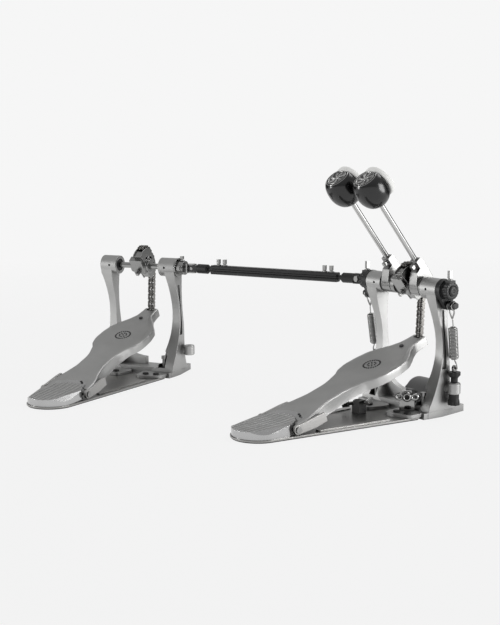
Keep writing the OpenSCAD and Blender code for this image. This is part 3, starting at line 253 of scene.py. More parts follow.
# Moulded nylon knobs: matte black
nylon = plastic("moulded_nylon", "#151515", 0.5, 0.5, 0.03, edge_highlight_colour="#3a3a3a")
# Polished ABS beater body: glossy black
gloss = plastic("polished_black_abs", "#0b0b0c", 0.2, 1.2, 0.0, coat=0.3)
# Die-struck pewter medallion: shallow relief, painted shade in its hollows and a painted highlight on its edges
pewter = metal("struck_pewter", "#a8a8a7", "#f2f2f1", 0.20, 1.1, 0.8, 0.85, bevel=0.3, painted_shade=(1.6, 0.1))
# Rubber mat: matte, pebbled
rubber = plastic("moulded_rubber", "#232323", 0.8, 1.0, 0.1)
# Pressed wool felt: white, fibrous
felt = plastic("pressed_wool_felt", "#f2f2f0", 0.95, 0.5, 0.12)

SLOT_MATERIALS = {
    "mat": rubber,
    "base_steel": plate,
    "cast_aluminium": cast,
    "machined_aluminium": turned,
    "bolt_steel": zinc,
    "bright_steel": chrome,
    "chain_steel": nickel,
    "spring_steel": wire,
    "black_metal": powder,
    "dark_metal": grey_powder,
    "black_plastic": nylon,
    "gloss_black": gloss,
    "felt": felt,
}
NODE_MATERIALS = {"right_beater_rod": polished, "left_beater_rod": polished}
for part in frame["record"]["subparts"]:
    shown = nodes[part["node"]]
    finish = NODE_MATERIALS.get(part["node"], SLOT_MATERIALS[part["material_slot"]])
    if not shown.material_slots:
        shown.data.materials.append(finish)
    for held in shown.material_slots:
        held.material = finish


# Building and placing pieces


def mm(*values):
    """Millimetres to a vector in metres."""
    return Vector(values) * MM


def ease(t):
    """0 to 1 with flat ends."""
    t = max(0.0, min(1.0, t))
    return t * t * (3 - 2 * t)


def along(table, s):
    """Value at s of rows of [s, value], on a curve that never overshoots them."""
    rises = [(v1 - v0) / (s1 - s0) for (s0, v0), (s1, v1) in zip(table, table[1:])]
    slopes = [rises[0]] + [2 * a * b / (a + b) if a * b > 0 else 0.0 for a, b in zip(rises, rises[1:])] + [rises[-1]]
    i = max(0, min(len(rises) - 1, sum(row[0] <= s for row in table) - 1))
    (s0, v0), (s1, v1) = table[i], table[i + 1]
    h = s1 - s0
    t = max(0.0, min(1.0, (s - s0) / h))
    start, end = v0 + h * slopes[i] * t, v1 - h * slopes[i + 1] * (1 - t)
    return start + (end - start) * ease(t)


def place_piece(name, mesh, finish, body, replaced=(), place=None, sharp=32):
    """Makes a bmesh in metres an object that rides on a CAD body."""
    if place is not None:
        bmesh.ops.transform(mesh, matrix=place, verts=mesh.verts)
        if place.determinant() < 0:
            bmesh.ops.reverse_faces(mesh, faces=mesh.faces)
    mesh.normal_update()
    for face in mesh.faces:
        face.smooth = True
    for edge in mesh.edges:
        edge.smooth = len(edge.link_faces) == 2 and edge.calc_face_angle(0) < math.radians(sharp)
    data = bpy.data.meshes.new(name)
    mesh.to_mesh(data)
    mesh.free()
    data.materials.append(finish)
    shown = bpy.data.objects.new(name, data)
    bpy.context.scene.collection.objects.link(shown)
    weighted = shown.modifiers.new("weighted", "WEIGHTED_NORMAL")
    weighted.keep_sharp = True
    if body:
        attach(shown, body)
    if replaced:
        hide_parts(*replaced)
    return shown


def lathe(mesh, profile, steps=64):
    """Turns a profile of [radius, height] in millimetres about Z and closes it."""
    rail = [mesh.verts.new(mm(r, 0, z)) for r, z in profile]
    edges = [mesh.edges.new(pair) for pair in zip(rail, rail[1:])]
    bmesh.ops.spin(
        mesh, geom=rail + edges, cent=(0, 0, 0), axis=(0, 0, 1), angle=2 * math.pi, steps=steps, use_merge=True
    )
    bmesh.ops.remove_doubles(mesh, verts=mesh.verts, dist=MERGE)
    bmesh.ops.recalc_face_normals(mesh, faces=mesh.faces)


def join(mesh, one):
    """Adds one bmesh to another and frees it."""
    held = bpy.data.meshes.new("joined")
    one.to_mesh(held)
    one.free()
    mesh.from_mesh(held)
    bpy.data.meshes.remove(held)


def lathe_at(mesh, profile, at, steps):
    """Turns a profile as its own piece and adds it to a mesh at a place."""
    one = bmesh.new()
    lathe(one, profile, steps)
    bmesh.ops.translate(one, vec=at, verts=one.verts)
    join(mesh, one)


def box_at(mesh, at, size):
    """Adds a box to a mesh, centre and size in millimetres."""
    corners = bmesh.ops.create_cube(mesh, size=MM)["verts"]
    bmesh.ops.scale(mesh, vec=size, verts=corners)
    bmesh.ops.translate(mesh, vec=mm(*at), verts=corners)


def corners_over(mesh, turn):
    """Edges where the surface turns by more than so many degrees."""
    return [e for e in mesh.edges if len(e.link_faces) == 2 and e.calc_face_angle(0) > math.radians(turn)]


def round_edges(mesh, edges, width):
    """Rounds edges of a mesh by a width in millimetres."""
    bmesh.ops.bevel(
        mesh, geom=edges, offset=width * MM, affect="EDGES", segments=2, profile=0.5, clamp_overlap=True, material=-1
    )


def rounded(points, radius, steps=4):
    """An open profile of [radius, height] with its inner corners rounded."""
    out = [points[0]]
    for a, b, c in zip(points, points[1:], points[2:]):
        p, q, s = Vector(a), Vector(b), Vector(c)
        r = min(radius, (p - q).length * 0.45, (s - q).length * 0.45)
        start, end = q + (p - q).normalized() * r, q + (s - q).normalized() * r
        for i in range(steps + 1):
            t = i / steps
            out.append(tuple(start * (1 - t) ** 2 + q * 2 * t * (1 - t) + end * t * t))
    return out + [points[-1]]


def wire_mesh(points, radius, sides=3, closed=False):
    """A round wire in a bmesh along points in millimetres."""
    path = bpy.data.curves.new("path", "CURVE")
    path.dimensions = "3D"
    path.bevel_depth = radius * MM
    path.bevel_resolution = sides
    path.use_fill_caps = True
    spline = path.splines.new("POLY")
    spline.points.add(len(points) - 1)
    for held, point in zip(spline.points, points):
        held.co = (*(Vector(point) * MM), 1.0)
    spline.use_cyclic_u = closed
    holder = bpy.data.objects.new("path", path)
    mesh = bmesh.new()
    mesh.from_mesh(holder.to_mesh())
    holder.to_mesh_clear()
    bpy.data.objects.remove(holder)
    bpy.data.curves.remove(path)
    return mesh


FLAT_TURN = 0.5
ROUNDED_TURN = 28
CORNER_TURN = 55


def softened(node, width):
    """A CAD node again with its edges rounded by a width in millimetres, in its own place and material."""
    source = nodes[node]
    mesh = bmesh.new()
    mesh.from_mesh(source.data)
    bmesh.ops.remove_doubles(mesh, verts=mesh.verts, dist=MERGE)
    bmesh.ops.dissolve_limit(
        mesh, angle_limit=math.radians(FLAT_TURN), verts=mesh.verts, edges=mesh.edges, use_dissolve_boundaries=False
    )
    bmesh.ops.bevel(
        mesh,
        geom=corners_over(mesh, ROUNDED_TURN),
        offset=width * MM,
        offset_type="OFFSET",
        affect="EDGES",
        segments=2,
        profile=0.5,
        clamp_overlap=True,
        material=-1,
        miter_outer="ARC",
    )
    body = next(b for b, held in frame["record"]["behaviour"]["bodies"].items() if node in held)
    slot = next(p["material_slot"] for p in frame["record"]["subparts"] if p["node"] == node)
    place_piece(node + "_rounded", mesh, SLOT_MATERIALS[slot], body, (node,), sharp=40)


# Where things are in the CAD frame: the two pedals, the left side as the right one's mirror image, the plane of a
# board from its hinge, the axle and the beaters leaning back from it

PEDALS = {
    "main": Matrix.Identity(4),
    "slave": Matrix.Translation(mm(-484, -175.3, 0)) @ Matrix.Rotation(math.radians(28.16), 4, "Z"),
}
MIRRORED = Matrix.Scale(-1, 4, (1, 0, 0))
BOARD = Matrix.Translation(mm(8, -252, 17)) @ Matrix.Rotation(math.radians(19.24), 4, "X")
AXLE = Matrix.Translation(mm(0, 0, 190))
LEANED = AXLE @ Matrix.Rotation(math.radians(40), 4, "X")


# Footboards: cast shell with a chamfered rim, a scooped fork and ribs below. The tables give half widths, and the
# width of the rim's chamfer, at lengths along the board, all in millimetres

TOP_WIDTHS = [
    [0, 38.8], [24, 38.8], [34, 37.2], [60, 29.5], [92, 25], [140, 33], [156, 42], [186, 46.3], [210, 44],
    [232, 34], [252, 20], [268, 14], [289, 12.5],
]
LOW_WIDTHS = [
    [0, 38.8], [28, 38.8], [46, 38], [70, 34.5], [100, 32.5], [140, 36], [160, 44.5], [186, 47], [210, 44.6],
    [232, 35], [252, 22], [268, 16], [289, 14],
]
RIM_WIDTHS = [[0, 1.2], [60, 2.0], [120, 2.0], [170, 3.5], [215, 7.5], [245, 6.0], [262, 3.0], [289, 2.2]]
BOARD_END = 289.0
FORK_CENTRE = -14.0
FORK_RADIUS = 40.0
HORN_TIP = 8.4
HORN_END = 34
HORN_HALF = 38.9
SCOOP_REACH = 17.0
SCOOP_DEPTH = 4.6
SCOOP_SHINE = 9.0
SKIRT = 14.0
SHELL = 3.4
NOTCH_START = 0.2805
NOTCH_HALF = 0.0066
RIBS = (70, 120, 170, 215)
COLUMNS = 31
ROWS = 84


def board_section(k, s):
    """Place across the board and height of column k at s, in millimetres."""
    half = (COLUMNS - 1) // 2
    side = -1 if k < half else 1
    step = half - abs(k - half)
    top, low, rim = along(TOP_WIDTHS, s), along(LOW_WIDTHS, s), along(RIM_WIDTHS, s)
    drop = 0.25 + 0.16 * (rim - 2.0)
    outer = [
        (low, -SKIRT),
        (low * 0.55 + (top + 0.6) * 0.45, -SKIRT * 0.55),
        (top + 0.7, -3.0 - drop),
        (top + 0.2, -1.0 - drop),
        (top - 0.9, -0.1 - drop),
        (top - rim, -0.02),
    ]
    if s < HORN_END:
        outer[2:4] = [(min(x, HORN_HALF), z) for x, z in outer[2:4]]
    if step < len(outer):
        x, z = outer[step]
        return side * x, z
    inner = top - rim - 0.5
    return side * inner * (half - step) / (half - len(outer)), 0.0


def board_start(k):
    """Where column k of the board starts, on the arc of the fork."""
    s = 20.0
    for _ in range(8):
        x, _height = board_section(k, s)
        s = max(FORK_CENTRE + math.sqrt(max(FORK_RADIUS**2 - x * x, 0)), HORN_TIP)
    return s


def footboard(pedal):
    """One footboard with its ribs."""
    mesh = bmesh.new()
    bmesh.ops.create_grid(mesh, x_segments=COLUMNS - 1, y_segments=ROWS - 1, size=0.5)
    starts = [board_start(k) for k in range(COLUMNS)]
    for vert in mesh.verts:
        k = round((vert.co.x + 0.5) * (COLUMNS - 1))
        r = (vert.co.y + 0.5) ** 1.3
        s = starts[k] + (BOARD_END - starts[k]) * r
        x, z = board_section(k, s)
        near = max(0.0, 1 - (math.hypot(x, s - FORK_CENTRE) - FORK_RADIUS) / SCOOP_REACH)
        if s > HORN_TIP + 0.5:
            z -= SCOOP_DEPTH * near**1.1 * ease((32 - abs(x)) / 9)
        vert.co = mm(x, s, z)
    middles = {face: face.calc_center_median() for face in mesh.faces}
    notch = [face for face, at in middles.items() if at.y > NOTCH_START and abs(at.x) < NOTCH_HALF]
    bmesh.ops.delete(mesh, geom=notch, context="FACES")
    mesh.normal_update()
    if sum(f.normal.z * f.calc_area() for f in mesh.faces) < 0:
        bmesh.ops.reverse_faces(mesh, faces=mesh.faces)
    bmesh.ops.solidify(mesh, geom=mesh.faces[:], thickness=SHELL * MM)
    bmesh.ops.recalc_face_normals(mesh, faces=mesh.faces)
    round_edges(mesh, corners_over(mesh, CORNER_TURN), 0.5)
    for s in RIBS:
        box_at(mesh, (0, s, -7), (2 * along(TOP_WIDTHS, s) - 9, 2.4, 8))
    box_at(mesh, (0, 151, -7), (4, 180, 8))
    mesh.normal_update()
    for face in mesh.faces:
        x, s, _z = face.calc_center_median() / MM
        in_scoop = abs(x) < 29 and math.hypot(x, s - FORK_CENTRE) < FORK_RADIUS + SCOOP_SHINE
        face.material_index = 1 if in_scoop and face.normal.z > 0.3 else 0
    shell = place_piece(
        pedal + "_footboard_casting",
        mesh,
        cast,
        pedal + "_treadle",
        (pedal + "_footboard",),
        PEDALS[pedal] @ BOARD,
    )
    shell.data.materials.append(machined)


for pedal_name in PEDALS:
    footboard(pedal_name)


# Heel blocks: grooved top that runs into the fork, crescent chamfers, polished front

HEEL_Y = -284.0
HEEL_RADIUS = 37.0
HEEL_REAR = -257.0
TONGUE_CENTRE = -265.2
TONGUE_RADIUS = 36.5
GROOVE_PITCH = 8.2
GROOVE = [[-1.9, 0], [-1.5, 0.12], [-0.9, 0.45], [-0.5, 0.55], [0.5, 0.55], [0.9, 0.45], [1.5, 0.12], [1.9, 0]]
HEEL_ROWS = 60
BASE_TOP = 4.0
CRESCENT_FALL = 0.66
GROOVED, MACHINED, SHADED = 0, 1, 2


def heel_top(y):
    """Height of the heel block's top, which falls to the front and climbs to the fork."""
    return 20 - (HEEL_REAR - y) * 5 / 64 if y < HEEL_REAR else 20 + (y - HEEL_REAR) * 4.15 / 29.5


def heel_block(pedal):
    """One heel block: grooved top inside its outline, walls down to the base, a crescent cut off each side."""
    tops = [(GROOVE_PITCH * i + x, depth) for i in range(-3, 4) for x, depth in GROOVE]
    sides = [(x, 0.0) for x in (28.4, 29.8, 31, 32.2, 33.2, 34.1, 34.9, 35.5, 36.0, 36.4, 36.7, 36.9, 36.98)]
    columns = [(-x, depth) for x, depth in reversed(sides)] + tops + sides
    mesh = bmesh.new()
    bmesh.ops.create_grid(mesh, x_segments=len(columns) - 1, y_segments=HEEL_ROWS - 1, size=0.5)
    for vert in mesh.verts:
        x, depth = columns[round((vert.co.x + 0.5) * (len(columns) - 1))]
        front = HEEL_Y - math.sqrt(HEEL_RADIUS**2 - x * x)
        rear = HEEL_REAR if abs(x) > 35 else TONGUE_CENTRE + math.sqrt(TONGUE_RADIUS**2 - x * x)
        y = front + (rear - front) * (vert.co.y + 0.5)
        vert.co = mm(x, y, heel_top(y) - depth)
    rim = [e for e in mesh.edges if e.is_boundary]
    walls = bmesh.ops.extrude_edge_only(mesh, edges=rim)["geom"]
    for vert in walls:
        if isinstance(vert, bmesh.types.BMVert):
            vert.co.z = BASE_TOP * MM
    bmesh.ops.holes_fill(mesh, edges=[e for e in mesh.edges if e.is_boundary], sides=0)
    bmesh.ops.recalc_face_normals(mesh, faces=mesh.faces)
    for side in (-1, 1):
        start, end = mm(side * 21.5, -314.0, heel_top(-314.0)), mm(side * 37, HEEL_REAR, 19.6)
        across = (end - start).cross(Vector((0, 0, side))).normalized()
        normal = (end - start).cross(across - Vector((0, 0, CRESCENT_FALL)))
        everything = mesh.verts[:] + mesh.edges[:] + mesh.faces[:]
        cut = bmesh.ops.bisect_plane(
            mesh, geom=everything, plane_co=end, plane_no=normal if normal.z > 0 else -normal, clear_outer=True
        )
        bmesh.ops.holes_fill(mesh, edges=[e for e in cut["geom_cut"] if isinstance(e, bmesh.types.BMEdge)], sides=0)
    bmesh.ops.recalc_face_normals(mesh, faces=mesh.faces)
    round_edges(mesh, corners_over(mesh, CORNER_TURN), 0.35)
    mesh.normal_update()
    for face in mesh.faces:
        x, y, _z = face.calc_center_median() / MM
        area = face.calc_area() / MM**2
        inside = max(abs(x), math.hypot(x, min(0, y - HEEL_Y))) < HEEL_RADIUS - 0.7
        crescent = area > 60 and face.normal.z > 0.3
        face.material_index = GROOVED if inside and not crescent else MACHINED
        # Painted shade: narrow faces on the groove floors take the dark grey powder coat.
        from_groove = abs((x + GROOVE_PITCH / 2) % GROOVE_PITCH - GROOVE_PITCH / 2)
        if inside and from_groove < 0.95 and abs(x) < 27 and area < 6:
            face.material_index = SHADED
    block = place_piece(
        pedal + "_heel_block",
        mesh,
        grooved,
        pedal + "_stand",
        (pedal + "_heel_plate",),
        PEDALS[pedal] @ Matrix.Translation(mm(8, 0, 0)),
        sharp=8,
    )
    block.data.materials.append(machined)
    block.data.materials.append(grey_powder)


for pedal_name in PEDALS:
    heel_block(pedal_name)


# Beaters: glossy moulded heads with a silver medallion, felt discs behind

BEATERS = {"right": 29.0, "left": -31.5}
HEAD_PROFILE = [
    (0.0, -26.0), (8.0, -26.0), (14.0, -23.6), (19.0, -18.6), (22.6, -11.5), (24.3, -4.0), (24.5, 3.0),
    (24.0, 9.0), (22.6, 14.6), (20.6, 18.6), (18.9, 20.5), (17.8, 21.0), (16.9, 20.8), (16.2, 20.1),
    (15.8, 19.9), (0.0, 19.9),
]
BLADES = 7
BLADE_TWIST = 0.25
MEDALLION = [(15.0, 19.9), (14.9, 21.3), (14.6, 21.7), (13.8, 21.7), (13.4, 21.3), (13.2, 20.7), (12.6, 20.5)] + [
    (r, 20.5 + 0.5 * ease((r - 9) / 3) * ease((13 - r) / 1.5)) for r in (12, 11.2, 10.4, 9.6, 8.8, 8, 7, 6, 5, 4)
] + [(3.2, 20.5), (2.9, 21.1), (2.2, 21.5), (1.2, 21.7), (0.0, 21.75)]


def smoothed(profile, steps=4):
    """Catmull-Rom curve through profile points."""
    pts = [Vector(p) for p in profile]
    pts = [pts[0] * 2 - pts[1]] + pts + [pts[-1] * 2 - pts[-2]]
    out = []
    for a, b, c, d in zip(pts, pts[1:], pts[2:], pts[3:]):
        for i in range(steps):
            t = i / steps
            p = 0.5 * (2 * b + (c - a) * t + (2 * a - 5 * b + 4 * c - d) * t**2 + (3 * b - a - 3 * c + d) * t**3)
            out.append((max(p.x, 0.0), p.y))
    return out + [profile[-1]]


def blade_wave(x, y):
    """1 on the ridges of the medallion's blades and -1 between them."""
    return math.cos(BLADES * math.atan2(y, x) + BLADE_TWIST * math.hypot(x, y))


def beater(side, x):
    """Head, medallion and felt of one beater."""
    place = LEANED @ Matrix.Translation(mm(x, 17, 175))
    body = side + "_beater"
    mesh = bmesh.new()
    lathe(mesh, smoothed(HEAD_PROFILE[1:-2], 4) + HEAD_PROFILE[-2:], 96)
    bmesh.ops.contextual_create(mesh, geom=[e for e in mesh.edges if e.is_boundary])
    everything = mesh.verts[:] + mesh.edges[:] + mesh.faces[:]
    cut = bmesh.ops.bisect_plane(mesh, geom=everything, plane_co=mm(0, 14, 0), plane_no=(0, 1, 0), clear_outer=True)
    rim = [e for e in cut["geom_cut"] if isinstance(e, bmesh.types.BMEdge)]
    bmesh.ops.holes_fill(mesh, edges=rim, sides=0)
    bmesh.ops.recalc_face_normals(mesh, faces=mesh.faces)
    place_piece(body + "_shell", mesh, gloss, body, (body + "_head",), place)
    disc = bmesh.new()
    lathe(disc, MEDALLION, 96)
    for vert in disc.verts:
        x, y, z = vert.co / MM
        r = math.hypot(x, y)
        if 3 < r < 13 and z > 20.3:
            blades = ease(0.5 + 1.6 * blade_wave(x, y)) * ease((r - 3) / 1.5) * ease((13 - r) / 2.5)
            vert.co.z += 0.75 * MM * blades
    for face in disc.faces:
        x, y, _z = face.calc_center_median() / MM
        r = math.hypot(x, y)
        between = 3.4 < r < 12 and blade_wave(x, y) < -0.15
        face.material_index = int(between or 13.0 < r < 13.5)
    medal = place_piece(body + "_medallion", disc, pewter, body, (), place)
    medal.data.materials.append(gloss)
    trim = bmesh.new()
    lathe(trim, [(16.5, 20.2), (16.7, 21.2), (17.2, 21.5), (17.7, 21.4), (18.3, 20.6)], 96)
    place_piece(body + "_rim_ring", trim, chrome, body, (), place)
    pad = bmesh.new()
    lathe(pad, rounded([(0, 0.05), (23.6, 0.05), (24.6, 3.0), (24.2, 8.6), (0, 9.6)], 2.6, 6), 96)
    turned_pad = place @ Matrix.Translation(mm(0, 14, 0)) @ Matrix.Rotation(math.radians(-90), 4, "X")
    place_piece(body + "_felt_pad", pad, felt, body, (body + "_felt",), turned_pad)


for beater_side, beater_x in BEATERS.items():
    beater(beater_side, beater_x)


# Springs and their wire links

SPRING_AXIS = (
    Matrix.Translation(mm(85.5, 17.4, 74))
    @ Matrix.Rotation(math.atan2(3.5, 94.5), 4, "Y")
    @ Matrix.Rotation(math.asin(13 / 95.454), 4, "X")
)
SWING = 95.454
CURLS = 24
CURL_STEPS = 28
PITCH = 2.1
SPRING_WIRE = 0.96
LINK_WIRE = 1.2
EYE_X = 4.35


def spring_points():
    """Centre line of the wound spring, from its lower hook to its upper loop."""
    points = [
        (-3.9, 0, 0.6), (-2.6, 0, -0.2), (0, 0, -0.5), (2.4, 0, 0.0), (4.1, 0, 1.4), (4.7, 0, 3.8), (4.3, 0, 6.6),
        (2.8, 0, 9.0), (1.6, 0, 11.0),
    ]
    for i in range(CURLS * CURL_STEPS + 1):
        turns = i / CURL_STEPS
        r = min(6.0, 1.1 + 4.9 * turns / 1.3, 1.1 + 4.9 * (CURLS - turns) / 1.3)
        a = 2 * math.pi * turns
        points.append((r * math.cos(a), r * math.sin(a), 13 + turns * PITCH))
    return points + [(1.1, 0, 66.0), (0.9, 0, 69.0), (0.6, 0, 73.9)]


def link_points():
    """Bent wire of the link: down from one eye, round the foot, up to the other eye."""
    low = -20.0
    leg = [(EYE_X, 0, -6.6), (EYE_X, 0, -9.5), (4.1, 0, -11.6), (0.9, 0, low + 0.8)]
    round_eye = [math.radians(d) for d in range(15, 361, 15)]
    eye = [(EYE_X, 4.85 * math.sin(a), -1.2 - 5.4 * math.cos(a)) for a in round_eye]
    right = eye[::-1] + leg
    return right + [(0, 0, low)] + [(-x, y, z) for x, y, z in reversed(right)]


def spring(side):
    """Spring and link of one side."""
    place = SPRING_AXIS if side == "right" else MIRRORED @ SPRING_AXIS
    coil = place_piece(
        side + "_wound_spring",
        wire_mesh(spring_points(), SPRING_WIRE),
        wire,
        None,
        (side + "_spring",),
        place,
        sharp=60,
    )
    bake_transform(coil)
    place_piece(
        side + "_link_wire",
        wire_mesh(link_points(), LINK_WIRE),
        wire,
        side + "_link",
        (side + "_spring_link",),
        place @ Matrix.Translation(mm(0, 0, SWING)),
        sharp=60,
    )


for spring_side in ("right", "left"):
    spring(spring_side)


# Hub caps and serrated rings on the rockers

ALONG_X = Matrix.Rotation(math.radians(90), 4, "Y")
SERRATIONS = 18
RING_PROFILE = [(11.6, 85.6), (13.0, 86.2), (13.4, 88.0), (13.4, 92.4), (12.6, 94.3), (10.4, 94.9), (7.0, 94.6)]


def rocker_trim(side, body):
    """Serrated ring round the rocker's hub and a domed cap on the axle's end."""
    place = AXLE @ ALONG_X if side == "right" else MIRRORED @ AXLE @ ALONG_X
    ring = bmesh.new()
    lathe(ring, RING_PROFILE, 144)
    for vert in ring.verts:
        if math.hypot(vert.co.x, vert.co.y) / MM > 12:
            tooth = 1 - 0.06 * ease(0.5 + 0.9 * math.cos(SERRATIONS * math.atan2(vert.co.y, vert.co.x)))
            vert.co.x *= tooth
            vert.co.y *= tooth
    place_piece(side + "_rocker_serration", ring, powder, body, (), place, sharp=50)
    cap = bmesh.new()
    lathe(cap, rounded([(8.0, 94.2), (8.0, 96.2), (5.6, 97.4), (2.4, 97.4), (2.0, 96.6), (0, 96.6)], 0.7, 3), 48)
    place_piece(side + "_axle_cap", cap, powder, body, (), place)


rocker_trim("right", "main_axle")
rocker_trim("left", "left_drive")


# Wing screw of the hoop clamp: turned head with a socket between two loops, its inside painted black as shade

SCREW = (
    Matrix.Translation(mm(40.5, -34, 31)) @ Matrix.Rotation(math.radians(45), 4, "Z")
    @ Matrix.Rotation(math.radians(90), 4, "X")
)
SCREW_PROFILE = [
    (0, -19), (2.4, -19), (3, -18.4), (3, 2.3), (7.0, 2.3), (7.5, 2.8), (7.5, 6.2), (7.0, 7.6), (5.9, 9.4),
    (5.2, 9.8), (4.0, 9.8), (3.6, 9.4), (3.6, 5.0), (0, 5.0),
]


def wing_screw():
    """Head, loops and socket of the clamp's screw."""
    head = bmesh.new()
    lathe(head, SCREW_PROFILE, 64)
    around = [math.radians(d) for d in range(0, 360, 12)]
    for side in (-1, 1):
        loop = [(side * (11.4 + 4.4 * math.cos(a)), 3.9 * math.sin(a), 5.0) for a in around]
        join(head, wire_mesh(loop, 1.9, closed=True))
    place_piece("wing_screw_head", head, chrome, "wing_screw", ("clamp_screw",), SCREW)
    # Painted shade: a black liner fills the head's socket.
    socket = bmesh.new()
    lathe(socket, [(3.7, 5.1), (3.6, 8.2), (3.1, 8.2), (3.0, 5.4), (0, 5.4)], 6)
    place_piece("wing_screw_socket_shade", socket, nylon, "wing_screw", (), SCREW)


wing_screw()


# Black discs painted as shade in the sockets of the flange screws, and generic grip dots on the boards

FLANGE_SCREWS = ((56, -48), (38, -52), (-40, -48), (-22, -52))
SOCKET_PROFILE = [(5.2, 9.0), (5.2, 11.3), (4.4, 11.9), (2.6, 11.9), (2.4, 11.7), (0, 11.7)]
DOT_PROFILE = [(1.45, -0.2), (1.4, 0.3), (1.0, 0.65), (0, 0.75)]
DOTS_AT = 187


def screw_socket_shades(pedal):
    """Black discs in the heads of the four flange screws, painted shade for their sockets."""
    mesh = bmesh.new()
    for x, y in FLANGE_SCREWS:
        lathe_at(mesh, SOCKET_PROFILE, mm(x, y, 0), 24)
    place_piece(pedal + "_screw_socket_shades", mesh, nylon, pedal + "_stand", (), PEDALS[pedal])


def grip_dots(pedal):
    """Two rings of raised rubber dots on the belly of the board, and a drain plug by the fork."""
    mesh = bmesh.new()
    dots = [(0.0, 0.0)]
    for count, radius in ((8, 6.2), (22, 12.8)):
        turns = [2 * math.pi * i / count for i in range(count)]
        dots += [(radius * math.cos(a), radius * math.sin(a)) for a in turns]
    for x, y in dots:
        lathe_at(mesh, DOT_PROFILE, mm(x, DOTS_AT + y, 0), 16)
    lathe_at(mesh, [(1.9, -0.9), (1.9, -0.1), (1.3, 0.05), (0, 0.05)], mm(13.5, 30.5, -0.4), 20)
    place_piece(pedal + "_grip_dots", mesh, nylon, pedal + "_treadle", (), PEDALS[pedal] @ BOARD)


for pedal_name in PEDALS:
    screw_socket_shades(pedal_name)
    grip_dots(pedal_name)


# Castings and turned parts again with their edges rounded

ROUNDED = {
    "main_frame": 1.0,
    "slave_frame": 1.0,
    "right_beater_holder": 0.7,
    "left_beater_holder": 0.7,
    "right_rocker": 0.6,
    "left_rocker": 0.6,
    "main_cam": 0.4,
    "slave_cam": 0.4,
    "hoop_jaw": 1.6,
    "main_hinge_bracket": 0.5,
    "slave_hinge_bracket": 0.5,
    "main_base_plate": 0.5,
    "slave_base_plate": 0.5,
    "clamp_bracket": 0.6,
    "right_knobs": 0.5,
    "left_knobs": 0.5,
    "left_drive_hub": 0.4,
}
for rounded_node, edge_width in ROUNDED.items():
    softened(rounded_node, edge_width)


# Studio: white sweep behind with a black flag at each end, a grey room above and behind the camera, three softboxes

BACKDROP = "#f6f6f6"


def any_ray(tree, *kinds):
    """1 for rays of any of these kinds."""
    path = add(tree, "ShaderNodeLightPath")
    result = path.outputs[kinds[0]]
    for kind in kinds[1:]:
        result = add(tree, "ShaderNodeMath", {"operation": "MAXIMUM"}, {0: result, 1: path.outputs[kind]}).outputs[0]
    return result


floor_mesh = bmesh.new()
bmesh.ops.create_grid(floor_mesh, x_segments=1, y_segments=1, size=12.0)
floor_data = bpy.data.meshes.new("floor")
floor_mesh.to_mesh(floor_data)
floor_mesh.free()
floor = bpy.data.objects.new("floor", floor_data)
floor.location = (0, 0, -0.0002)
bpy.context.scene.collection.objects.link(floor)

# Paper sweep: it keeps the shadow near the pedals and thins out into the backdrop far from them
floor_material = bpy.data.materials.new("floor_paper")
floor_material.use_nodes = True
floor_tree = floor_material.node_tree
floor_tree.nodes.clear()
paper = add(floor_tree, "ShaderNodeBsdfDiffuse", values={"Color": linear("#dcdcdc")})
glow = add(floor_tree, "ShaderNodeEmission", values={"Color": linear(BACKDROP), "Strength": 1.0})
lit = add(floor_tree, "ShaderNodeMixShader", values={0: 0.93}, links={1: paper.outputs[0], 2: glow.outputs[0]})
seen = any_ray(floor_tree, "Is Camera Ray", "Is Glossy Ray", "Is Transmission Ray")
choose = add(floor_tree, "ShaderNodeMixShader", links={0: seen, 1: paper.outputs[0], 2: lit.outputs[0]})
floor_place = add(floor_tree, "ShaderNodeTexCoord").outputs["Object"]
away = add(floor_tree, "ShaderNodeVectorMath", {"operation": "LENGTH"}, {0: floor_place})
fade = add(
    floor_tree,
    "ShaderNodeMapRange",
    values={"From Min": 1.0, "From Max": 2.6},
    links={"Value": away.outputs["Value"]},
)
clear = add(floor_tree, "ShaderNodeBsdfTransparent")
ends = add(
    floor_tree, "ShaderNodeMixShader", links={0: fade.outputs["Result"], 1: choose.outputs[0], 2: clear.outputs[0]}
)
add(floor_tree, "ShaderNodeOutputMaterial", links={"Surface": ends.outputs[0]})
floor_data.materials.append(floor_material)

world = bpy.data.worlds.new("studio")
bpy.context.scene.world = world
world.use_nodes = True
sky = world.node_tree
sky.nodes.clear()
towards = add(sky, "ShaderNodeTexCoord").outputs["Generated"]
height = add(sky, "ShaderNodeSeparateXYZ", links={0: towards}).outputs["Z"]
low = add(sky, "ShaderNodeMapRange", {"interpolation_type": "SMOOTHSTEP"}, {"Value": height},
          {"From Min": 0.34, "From Max": 0.10})
behind = add(sky, "ShaderNodeVectorMath", {"operation": "DOT_PRODUCT"}, {0: towards}, {1: (-0.8, 0.58, 0.0)})
far = add(sky, "ShaderNodeMapRange", {"interpolation_type": "SMOOTHSTEP"}, {"Value": behind.outputs["Value"]},
          {"From Min": -0.55, "From Max": 0.25})
sweep = add(sky, "ShaderNodeMath", {"operation": "MULTIPLY"}, {0: low.outputs[0], 1: far.outputs[0]})
ceiling = add(sky, "ShaderNodeMapRange", links={"Value": height}, values={"To Min": 0.36, "To Max": 0.54})
above = add(sky, "ShaderNodeMix", {"data_type": "FLOAT"}, {0: sweep.outputs[0], 2: ceiling.outputs[0]}, {3: 0.96})
under = add(sky, "ShaderNodeMapRange", {"interpolation_type": "SMOOTHSTEP"}, {"Value": height},
            {"From Min": 0.02, "From Max": -0.10})
level = add(sky, "ShaderNodeMix", {"data_type": "FLOAT"}, {0: under.outputs[0], 2: above.outputs[0]}, {3: 0.9})
level = level.outputs[0]
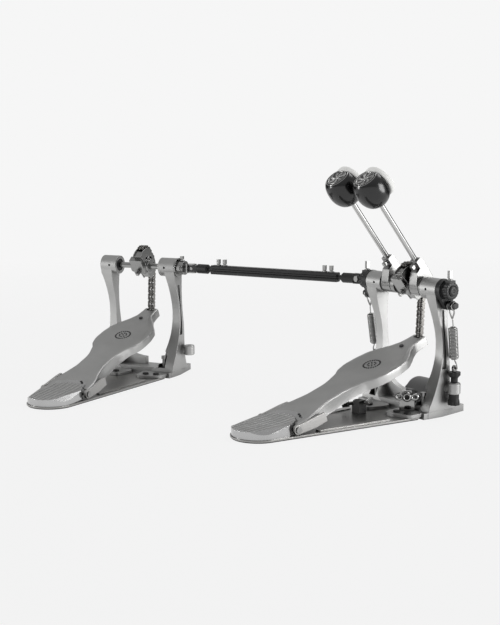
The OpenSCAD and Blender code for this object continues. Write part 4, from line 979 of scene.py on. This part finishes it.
FLAGS = (((0.05, 0.998, 0.0), 0.90), ((-0.98, -0.20, 0.0), 0.93))
for flag_towards, flag_from in FLAGS:
    beside = add(sky, "ShaderNodeVectorMath", {"operation": "DOT_PRODUCT"}, {0: towards}, {1: flag_towards})
    flag = add(sky, "ShaderNodeMapRange", {"interpolation_type": "SMOOTHSTEP"}, {"Value": beside.outputs["Value"]},
               {"From Min": flag_from - 0.05, "From Max": flag_from + 0.02, "To Min": 1.0, "To Max": 0.08})
    level = add(sky, "ShaderNodeMath", {"operation": "MULTIPLY"}, {0: level, 1: flag.outputs[0]}).outputs[0]
room = add(sky, "ShaderNodeBackground", {}, {"Strength": level}, {"Color": linear("#ffffff")})
fill = add(sky, "ShaderNodeBackground", values={"Color": linear("#ffffff"), "Strength": 0.55})
back = add(sky, "ShaderNodeBackground", values={"Color": linear(BACKDROP), "Strength": 1.0})
mirrored = any_ray(sky, "Is Glossy Ray")
glossy = add(sky, "ShaderNodeMixShader", links={0: mirrored, 1: fill.outputs[0], 2: room.outputs[0]})
view = any_ray(sky, "Is Camera Ray", "Is Transmission Ray")
sky_mix = add(sky, "ShaderNodeMixShader", links={0: view, 1: glossy.outputs[0], 2: back.outputs[0]})
add(sky, "ShaderNodeOutputWorld", links={"Surface": sky_mix.outputs[0]})


def softbox(name, at, towards, width, height, power):
    """An area lamp that faces a point."""
    lamp = bpy.data.lights.new(name, "AREA")
    lamp.shape = "RECTANGLE"
    lamp.size = width
    lamp.size_y = height
    lamp.energy = power
    placed = bpy.data.objects.new(name, lamp)
    placed.location = at
    placed.rotation_euler = (Vector(towards) - Vector(at)).to_track_quat("-Z", "Y").to_euler()
    bpy.context.scene.collection.objects.link(placed)


CENTRE = (-0.2, -0.15, 0.15)
softbox("right_light", (2.1, 1.3, 0.4), CENTRE, 1.3, 1.2, 34.0)
softbox("front_light", (-1.45, -2.2, 0.42), CENTRE, 0.3, 0.8, 12.0)
softbox("top_light", (-0.15, 1.2, 1.8), CENTRE, 1.5, 0.8, 10.0)

bpy.context.scene.view_settings.view_transform = "Standard"
